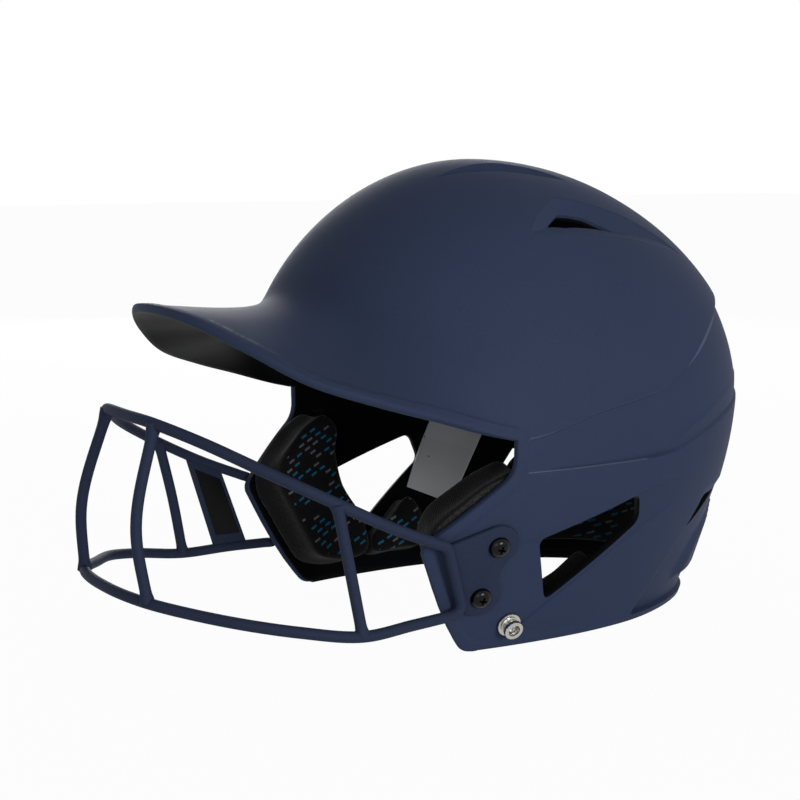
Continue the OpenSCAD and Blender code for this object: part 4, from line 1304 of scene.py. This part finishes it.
waist_v = np.sqrt((WAIST_R + LOBE_R) ** 2 - (SCREW_PITCH / 2) ** 2)
lean = np.degrees(np.arctan2(SCREW_PITCH / 2, waist_v))
lobes = (0, SCREWS_U[0]), (0, SCREWS_U[1])
tab_outline = np.vstack([
    [LOWER_FRONT],
    arc(lobes[1], LOBE_R, touch_angle(lobes[1], LOBE_R, LOWER_FRONT, 1), lean),
    arc((waist_v, 0), WAIST_R, 180 + lean, 180 - lean)[1:-1],
    arc(lobes[0], LOBE_R, -lean, touch_angle(lobes[0], LOBE_R, UPPER_FRONT, -1) + 360),
    [UPPER_FRONT],
])


def plate(outline, rings, place):
    """A plate from its outline: each ring is how far it lies inside the outline, and its height."""
    along = unit(np.roll(outline, -1, axis=0) - np.roll(outline, 1, axis=0))
    inward = columns(-along[:, 1], along[:, 0])
    verts = [place(*(p + inset * q), h) for inset, h in rings for p, q in zip(outline, inward)]
    return np.array(verts), tube_faces(len(rings), len(outline))


TOP = GAP + TAB_T
tab_rings = [(0.3, GAP), (0, GAP + 0.3), (0, TOP - 0.8), (0.25, TOP - 0.25), (0.8, TOP)]
tab_mesh = plate(tab_outline, tab_rings, tab_at)
for side, mirror in SIDES:
    tab = make_piece(f"tab_plate_{side}", *tab_mesh, [guard_paint], mirror=mirror)
    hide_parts(f"guard_tab_{side}")
print("tab outline has", len(tab_outline), "points")

# %% [markdown]
# Round hardware is turned, so it is made here as on a lathe: a profile spun round an axis. The
# screw heads get a tapered cross recess, cut with a boolean.

# %% Lathe and screws
def lathe(profile, sides, hollow=False):
    r, h = np.array(profile, float).T[..., None]
    s, c = sin_cos(np.arange(sides) * 360 / sides)
    return columns(r * c, r * s, h).reshape(-1, 3), tube_faces(len(profile), sides, closed=hollow)


def cross_cutter(size, depth, top):
    """Two tapered blades across each other."""
    ends = [(top - depth, size * 0.22, 0.3), (top + 1, size * 0.56, 0.62)]
    square = [(-1, -1), (1, -1), (1, 1), (-1, 1)]
    blade = np.array([[x * half, y * thick, z] for z, half, thick in ends for x, y in square])
    box = [(3, 2, 1, 0), (4, 5, 6, 7), (0, 1, 5, 4), (1, 2, 6, 5), (2, 3, 7, 6), (3, 0, 4, 7)]
    turned = blade[:, [1, 0, 2]] * TO_RIGHT
    return np.vstack([blade, turned]), box + [tuple(i + 8 for i in f) for f in box]


def cut_out(piece, cutter):
    boolean = piece.modifiers.new("recess", "BOOLEAN")
    boolean.object = cutter
    boolean.use_self = True
    with bpy.context.temp_override(object=piece, active_object=piece):
        bpy.ops.object.modifier_apply(modifier="recess")
    bpy.data.objects.remove(cutter)
    piece.data.set_sharp_from_angle(angle=radians(SHARP))


def flip_over(mesh):
    """Mirrors a mesh to the wearer's other side."""
    mesh.transform(Matrix.Diagonal((*TO_RIGHT, 1)))
    mesh.flip_normals()


def put(piece, origin, x_axis, y_axis, z_axis, mirror):
    """Bakes a place and three axes into a piece's mesh, and mirrors it if asked."""
    m = Matrix(np.vstack([np.column_stack([x_axis, y_axis, z_axis, origin * MM]), [0, 0, 0, 1]]))
    piece.data.transform(m)
    if mirror:
        flip_over(piece.data)
    piece.data.update()


HEAD_D, HEAD_H, SCREW_D = 9.7, 3.5, 4
SHANK, BRIM = 8.3, 0.5
RECESS_W, RECESS_DEPTH = HEAD_D * 0.5, 1.5
s, c = sin_cos(np.linspace(0, 90, 12)[:-1])
head = columns(HEAD_D / 2 * c**0.72, BRIM + (HEAD_H - BRIM) * s)
screw_profile = [
    [SCREW_D / 2 - 0.4, -SHANK], [SCREW_D / 2, 0.4 - SHANK], [SCREW_D / 2, 0],
    [HEAD_D / 2 - 0.1, 0], [HEAD_D / 2, 0.12], *head, [0.05, HEAD_H],
]
print("screw profile has", len(screw_profile), "points")

# %% [markdown]
# The screws are black and a little glossy, the nuts are plated steel, and the studs are a
# smoother metal. Each tone and roughness shifts a little with one noise, over a fine grain as a
# bump, because perfectly even metal looks like plastic.

# %% Materials of the hardware
screw_black = flecked(
    "black_oxide_screw", (900, 3), [(3, 3, 4), (8, 8, 9)], (0.1, 0.12), (1200, 0.00003),
    Specular_IOR_Level=0.16,
)
steel = flecked(
    "plated_steel", (700, 3), [(172, 172, 170), (206, 206, 203)], (0.24, 0.18), (1600, 0.00003),
    Metallic=1.0,
)
stud_metal = flecked(
    "stud_metal", (1100, 3), [(150, 149, 145), (204, 202, 197)], (0.16, 0.16), (1500, 0.00004),
    Metallic=1.0,
)
print("hardware finishes:", screw_black.name, steel.name, stud_metal.name)

# %% Screws in place
for side, mirror in SIDES:
    for level_name, u in zip(("upper", "lower"), SCREWS_U):
        turned = lathe(screw_profile, 48)
        screw = make_piece(f"guard_screw_{level_name}_{side}", *turned, [screw_black])
        cut_out(screw, make_piece("cross", *cross_cutter(RECESS_W, RECESS_DEPTH, HEAD_H), []))
        put(screw, tab_at(0, u, TOP), tab_v, tab_u, tab_n, mirror)
        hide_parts("guard_screws")

# %% [markdown]
# A stud holds the chin strap: its snap grips the round head over the narrower neck, and a screw
# sits in the hollow end. The profile runs once round the whole section, so that spinning it
# closes the mesh without caps.

# %% Studs in place
SEAT, FLANGE_R, FLANGE_T, BARREL_R, STUD_H, BORE_R = 0.4, 5.7, 1.3, 4.5, 4.6, 1.6
foot, top = SEAT + FLANGE_T, SEAT + FLANGE_T + STUD_H
neck_r, recess_r, stud_floor = BARREL_R * 0.84, BARREL_R * 0.6, foot + 1.2
stud_profile = [
    [BORE_R, SEAT], [FLANGE_R - 0.2, SEAT], [FLANGE_R, SEAT + 0.2], [FLANGE_R, foot - 0.45],
    [FLANGE_R - 0.15, foot - 0.15], [FLANGE_R - 0.5, foot], [neck_r + 0.2, foot], [neck_r, foot + 0.2],
    [neck_r, foot + STUD_H * 0.38], [BARREL_R - 0.15, foot + STUD_H * 0.5],
    [BARREL_R, foot + STUD_H * 0.56], [BARREL_R, top - 0.45], [BARREL_R - 0.15, top - 0.12],
    [BARREL_R - 0.45, top], [recess_r + 0.35, top], [recess_r + 0.1, top - 0.1],
    [recess_r, top - 0.35], [recess_r, stud_floor], [BORE_R, stud_floor],
]
stud_side = unit(np.cross([0, 0, 1], stud_n))
stud_up = np.cross(stud_n, stud_side)
for side, mirror in SIDES:
    turned = lathe(stud_profile, 64, hollow=True)
    stud = make_piece(f"strap_stud_turned_{side}", *turned, [stud_metal])
    put(stud, stud_point, stud_side, stud_up, stud_n, mirror)
    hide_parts(f"strap_stud_{side}")
print("a stud stands", round(top, 1), "mm over the flap")

# %% [markdown]
# The pads are foam blocks with a knitted face. A pad is drawn as an outline on the lining, and
# built as rings from its seat to its crowned face, with sides that pull in at half height. A
# short cloth simulation with pressure inside then lets the skin swell and settle, as a covered
# pad does, and each point may move only a little. Sculpting could do the same, but a simulation
# gives the even swell of a tight cover.

# %% Pad shapes
HEAD_PAD_T = 14
JAW_PAD_T = 22
PAD_GAP = 0.5
PAD_PROFILE = [
    [0.3, 0], [0.6, 0], [0.9, 0], [0.975, 0.01], [1, 0.05], [0.998, 0.14], [0.975, 0.28],
    [0.964, 0.42], [0.966, 0.55], [0.978, 0.68], [0.992, 0.76], [1.0, 0.83], [0.99, 0.885],
    [0.95, 0.93], [0.87, 0.962], [0.75, 0.985], [0.62, 1.0], [0.48, 1.015], [0.34, 1.025], [0.18, 1.03],
]
SIDE_RING, FACE_RING = 3, 13
PAD_TOP = 1.035
PAD_POINTS, EDGE_STEPS = 96, 24
JAW = [
    [47.4, 50], [49.3, 34], [51, 22], [54.2, 10.5], [61, 7], [73, 8.5], [75, 20], [70, 42],
    [70, 60], [71.5, 79], [68, 84], [62.5, 80.5], [55.5, 71], [49.8, 61],
]
EAR = [[80, 9], [92, 8], [103, 9], [103.5, 24], [99, 33], [90, 24], [81, 16]]
SIDE = [[80, 103], [98, 101], [118, 103], [134, 110], [136, 128], [120, 140], [98, 138], [82, 128]]
BROW = [
    [-53, 137], [-40, 148], [-20, 163], [0, 169], [20, 163], [40, 148], [53, 137], [57, 150],
    [42, 169], [22, 184], [0, 190], [-22, 184], [-42, 169], [-57, 150],
]
NAPE = [
    [138, 10], [160, 9], [180, 9], [200, 9], [222, 10], [226, 30],
    [221, 54], [199, 62], [180, 64], [161, 62], [139, 54], [134, 30],
]
CROWN = [
    [-9, -44], [0, -48], [9, -44], [11, 0], [11, 40], [8, 58], [0, 62], [-8, 58], [-11, 40], [-11, 0],
]
print("corners drawn:", [len(drawn) for drawn in (JAW, EAR, SIDE, BROW, NAPE, CROWN)])

# %% Lay a pad's rings on the lining
def on_wall(a, z, depth):
    return dome_point(a, z) - (WALL + depth)[..., None] * wall_normal(a, z)


def crown_point(x, y):
    return columns(x, HEAD_Y + y, crown_z(x, y))


def on_crown(x, y, depth):
    across = crown_point(x + 1, y) - crown_point(x - 1, y)
    back = crown_point(x, y + 1) - crown_point(x, y - 1)
    return crown_point(x, y) - (WALL + depth)[..., None] * unit(np.cross(across, back))


def pad_mesh(corners, thickness, seat, place):
    knots = [np.array([*c, 0.0]) for c in corners]
    line = closed_line(knots, EDGE_STEPS)[:, :2]
    edge = line[np.arange(PAD_POINTS) * len(line) // PAD_POINTS]
    centre = edge.mean(axis=0)
    share, up = np.array(PAD_PROFILE).T
    q = centre + (edge - centre) * share[:, None, None]
    depth = np.broadcast_to((seat + thickness * up)[:, None], q.shape[:2])
    verts = place(q[..., 0], q[..., 1], depth).reshape(-1, 3)
    ends = np.array([seat, seat + thickness * PAD_TOP])
    verts = np.vstack([verts, place(np.full(2, centre[0]), np.full(2, centre[1]), ends)])
    n, rings = PAD_POINTS, len(PAD_PROFILE)
    faces = [f[1:] + f[:1] for f in tube_faces(rings, n)[:-2]]
    finish = [0 if i < SIDE_RING else 1 if i < FACE_RING else 2 for i in range(rings - 1)]
    foot, head = rings * n, rings * n + 1
    for k in range(n):
        m = (k + 1) % n
        faces += [(m, k, foot), (foot - n + k, foot - n + m, head)]
    return verts, faces, np.repeat(finish, n).tolist() + [0, 2] * n


print("a pad has", len(PAD_PROFILE) * PAD_POINTS + 2, "points")

# %% [markdown]
# The foam is dark grey and open-celled. Its sides are covered in a plain black knit, and the face
# in the same knit printed with short dashes in blue and grey: the pattern divides the surface
# into small cells, shifts each row a little, and prints a dash in some of them at random. Cells
# that are worked out from the position need no image and no unwrapped pad.

# %% Foam and fabric
CELLS_ALONG, ROWS = 150, 300
PRINT_SLANT, ROW_SHIFT = 0.42, 0.37
DASH_LONG, DASH_WIDE = 0.3, 0.17
GREY_BELOW, BLUE_ABOVE = 0.26, 0.66
foam = Finish("open_cell_foam", Roughness=0.95, Specular_IOR_Level=0.2)
pores = foam.node("TexVoronoi", {}, {"Vector": foam.place, "Scale": 900.0}, "Distance")
crumbs = foam.noise(700, 3)
foam.paint(Base_Color=foam.mix(pores + 0.2 * crumbs, linear(10, 10, 11), linear(48, 48, 50)))
foam.bump(pores, 0.0006)


def knit(name, axes, printed_on=True):
    cloth = Finish(name, Roughness=0.85, Specular_IOR_Level=0.1, Sheen_Weight=0.12, Sheen_Roughness=0.4)
    one, other = (cloth.node("SeparateXYZ", {}, {"Vector": cloth.place}, axis) for axis in axes)
    along = CELLS_ALONG * (one + PRINT_SLANT * other)
    rows = ROWS * (other - PRINT_SLANT * one)
    row = rows.math("FLOOR", rows)
    shift = along + ROW_SHIFT * row
    cell = shift.math("FLOOR", shift)
    corner = cloth.node("CombineXYZ", {}, {"X": cell, "Y": row})
    chance = cloth.node("TexWhiteNoise", {"noise_dimensions": "3D"}, {"Vector": corner}, "Value")
    x, y = (shift - cell) - 0.5, (rows - row) - 0.5
    dash = (x.math("ABSOLUTE", x) < DASH_LONG) * (y.math("ABSOLUTE", y) < DASH_WIDE)
    grain = cloth.noise(1300, 2)
    wave = {"Vector": cloth.place, "Scale": 420.0, "Distortion": 1.5, "Detail": 1.0}
    wale = cloth.node("TexWave", {"bands_direction": "DIAGONAL"}, wave)
    tone = cloth.mix(wale * grain, linear(6, 6, 7), linear(36, 36, 40))
    if printed_on:
        tone = cloth.mix(0.85 * (dash * (chance < GREY_BELOW)), tone, linear(120, 122, 128))
        tone = cloth.mix(0.9 * (dash * (chance > BLUE_ABOVE)), tone, linear(32, 120, 160))
    cloth.paint(Base_Color=tone)
    cloth.bump(0.5 * wale + grain, 0.0003)
    return cloth.material


side_knit = knit("pad_knit_side", ("Y", "Z"))
cross_knit = knit("pad_knit_cross", ("X", "Z"))
top_knit = knit("pad_knit_top", ("X", "Y"))
plain_knit = knit("pad_knit_plain", ("Y", "Z"), printed_on=False)
print("fabrics:", side_knit.name, cross_knit.name, top_knit.name)


# %% Let a pad swell
def swell(piece, room, pressure=3.0, frames=14):
    """Blows up a pad as cloth, lets no point move more than room, and applies the result."""
    before = np.array([v.co for v in piece.data.vertices])
    cloth = piece.modifiers.new("swell", "CLOTH")
    settings = cloth.settings
    settings.quality, settings.mass = 6, 0.2
    settings.tension_stiffness = settings.compression_stiffness = 25
    settings.bending_stiffness = 1
    settings.use_pressure, settings.uniform_pressure_force = True, pressure
    settings.effector_weights.gravity = 0
    cloth.collision_settings.use_collision = False
    cloth.point_cache.frame_start, cloth.point_cache.frame_end = 1, frames
    for f in range(1, frames + 1):
        bpy.context.scene.frame_set(f)
    graph = bpy.context.evaluated_depsgraph_get()
    shaped = piece.evaluated_get(graph).to_mesh()
    after = np.array([v.co for v in shaped.vertices])
    piece.evaluated_get(graph).to_mesh_clear()
    piece.modifiers.clear()
    bpy.context.scene.frame_set(1)
    move = after - before
    length = np.linalg.norm(move, axis=1, keepdims=True)
    move *= np.minimum(1, room * MM / np.maximum(length, 1e-9))
    piece.data.vertices.foreach_set("co", (before + move).ravel())
    piece.data.update()
    print(piece.name, "moved up to", round(float(length.max() / MM), 1), "mm, kept to", room)


# %% Pads in place
PAD_ROOM = 1.2
pad_list = [
    ("jaw_pad", JAW, JAW_PAD_T, PAD_GAP, on_wall, side_knit, True),
    ("ear_pad", EAR, HEAD_PAD_T, PAD_GAP, on_wall, side_knit, True),
    ("side_pad", SIDE, HEAD_PAD_T, BAND_DEPTH + PAD_GAP + 1, on_wall, side_knit, True),
    ("brow_pad", BROW, HEAD_PAD_T, PAD_GAP, on_wall, cross_knit, False),
    ("nape_pad", NAPE, HEAD_PAD_T, NAPE_DEPTH + PAD_GAP, on_wall, cross_knit, False),
    ("crown_pad", CROWN, HEAD_PAD_T, PAD_GAP, on_crown, top_knit, False),
]
for name, corners, thickness, seat, place, fabric, pair in pad_list:
    verts, faces, paint = pad_mesh(corners, thickness, seat, place)
    node = f"{name}_left" if pair else name
    finishes = [foam.material, plain_knit, fabric]
    pad = make_piece(f"{node}_covered", verts, faces, finishes, paint, sharp=60)
    swell(pad, PAD_ROOM)
    pads = [(pad, node)]
    if pair:
        twin = pad.copy()
        twin.data = pad.data.copy()
        twin.name = f"{name}_right_covered"
        flip_over(twin.data)
        link(twin)
        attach(twin, "root")
        pads.append((twin, f"{name}_right"))
    for piece, node in pads:
        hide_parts(node)

# %% [markdown]
# What is left of the solid model keeps its own mesh and only gets a finish: the tee nuts, the
# small nuts and screws of the studs, and the blank label inside the shell.

# %% The blank labels, and finishes for the solids that stay
label = flecked(
    "blank_label", (40, 3), [(206, 209, 212), (226, 229, 232)], (0.5, 0), (500, 0.00004),
    Specular_IOR_Level=0.5,
)
black_label = flecked(
    "blank_black_label", (50, 3), [(9, 9, 10), (17, 17, 19)], (0.4, 0.2), (600, 0.00004),
    Specular_IOR_Level=0.08,
)
guard_label = make_piece("blank_label_right", *label_mesh, [black_label], mirror=True)
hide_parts("guard_label")

kept = {"guard_tee_nuts": steel, "stud_screws": steel, "stud_nuts": steel, "inside_label": label}
for name, finish in kept.items():
    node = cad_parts[name]
    if not node.material_slots:
        node.data.materials.append(finish)
    for material_slot in node.material_slots:
        material_slot.material = finish
print("finished solids:", sorted(kept))

# %% [markdown]
# The stage is a pale floor under a pale sky. To the camera and to reflections the world is
# nearly white, but it lights the helmet only gently. A soft lamp on the wearer's left gives the
# form its shading, weaker ones fill the front and top, and two more light the far side.

# %% Floor
FLOOR_REACH, FLOOR_DROP, FLOOR_GLOW = 6.0, 0.5, 0.965
floor_mesh = bpy.data.meshes.new("floor")
corners = [(x * FLOOR_REACH, y * FLOOR_REACH, 0) for x, y in ((-1, -1), (1, -1), (1, 1), (-1, 1))]
floor_mesh.from_pydata(corners, [], [(0, 1, 2, 3)])
floor = bpy.data.objects.new("floor", floor_mesh)
floor.location.z = -FLOOR_DROP * MM
link(floor)
floor_finish = Finish("pale_floor", Roughness=0.9, Specular_IOR_Level=0.1)
floor_tone = floor_finish.mix(floor_finish.noise(3), linear(236, 236, 236), linear(242, 242, 242))
floor_finish.paint(Base_Color=floor_tone)
seen, mirrored = (
    floor_finish.node("LightPath", {}, {}, kind) for kind in ("Is Camera Ray", "Is Glossy Ray")
)
glow = floor_finish.node("Emission", {}, {"Color": (1, 1, 1, 1), "Strength": 1.0})
lit = Wire(floor_finish, floor_finish.shader.outputs[0])
shown = floor_finish.node("MixShader", {}, {0: FLOOR_GLOW * (seen + mirrored), 1: lit, 2: glow})
floor_finish.tree.links.new(shown.socket, floor_finish.output.inputs[0])
floor_mesh.materials.append(floor_finish.material)
print("floor:", floor.name, "in", floor_finish.material.name)

# %% World
SKY_LIGHT, SKY_SEEN = 0.23, 1.0
world = bpy.data.worlds.new("world")
bpy.context.scene.world = world
world.use_nodes = True
sky = world.node_tree
back_light = sky.nodes["Background"]
rays = sky.nodes.new("ShaderNodeLightPath")
pick = sky.nodes.new("ShaderNodeMix")
pick.inputs[2].default_value, pick.inputs[3].default_value = SKY_LIGHT, SKY_SEEN
either = rays.outputs["Is Camera Ray"]
for kind in ("Is Glossy Ray", "Is Transmission Ray"):
    more = sky.nodes.new("ShaderNodeMath")
    more.operation = "MAXIMUM"
    sky.links.new(either, more.inputs[0])
    sky.links.new(rays.outputs[kind], more.inputs[1])
    either = more.outputs[0]
sky.links.new(either, pick.inputs[0])
sky.links.new(pick.outputs[0], back_light.inputs["Strength"])
back_light.inputs["Color"].default_value = (1, 1, 1, 1)
print("the sky lights the helmet with a strength of", SKY_LIGHT)

# %% Lamps
LIT_POINT = (0, 0, 0.11)


def area_light(name, size, energy, place):
    data = bpy.data.lights.new(name, "AREA")
    data.shape = "RECTANGLE"
    data.size, data.size_y = size
    data.energy = energy
    lamp = bpy.data.objects.new(name, data)
    lamp.location = place
    lamp.rotation_euler = (Vector(LIT_POINT) - Vector(place)).to_track_quat("-Z", "Y").to_euler()
    link(lamp)


area_light("key", (0.5, 0.45), 10.3, (1.42, 0.05, 0.33))
area_light("top", (1.4, 1.4), 0.3, (-0.1, 0.1, 1.5))
area_light("front_fill", (0.7, 0.6), 3.1, (1.05, -0.95, 0.3))
area_light("far_side", (0.8, 0.7), 8, (-1.25, 0.65, 0.45))
area_light("far_front", (0.8, 0.7), 1.5, (-1.2, -0.9, 0.25))
bpy.context.scene.view_settings.view_transform = "Standard"
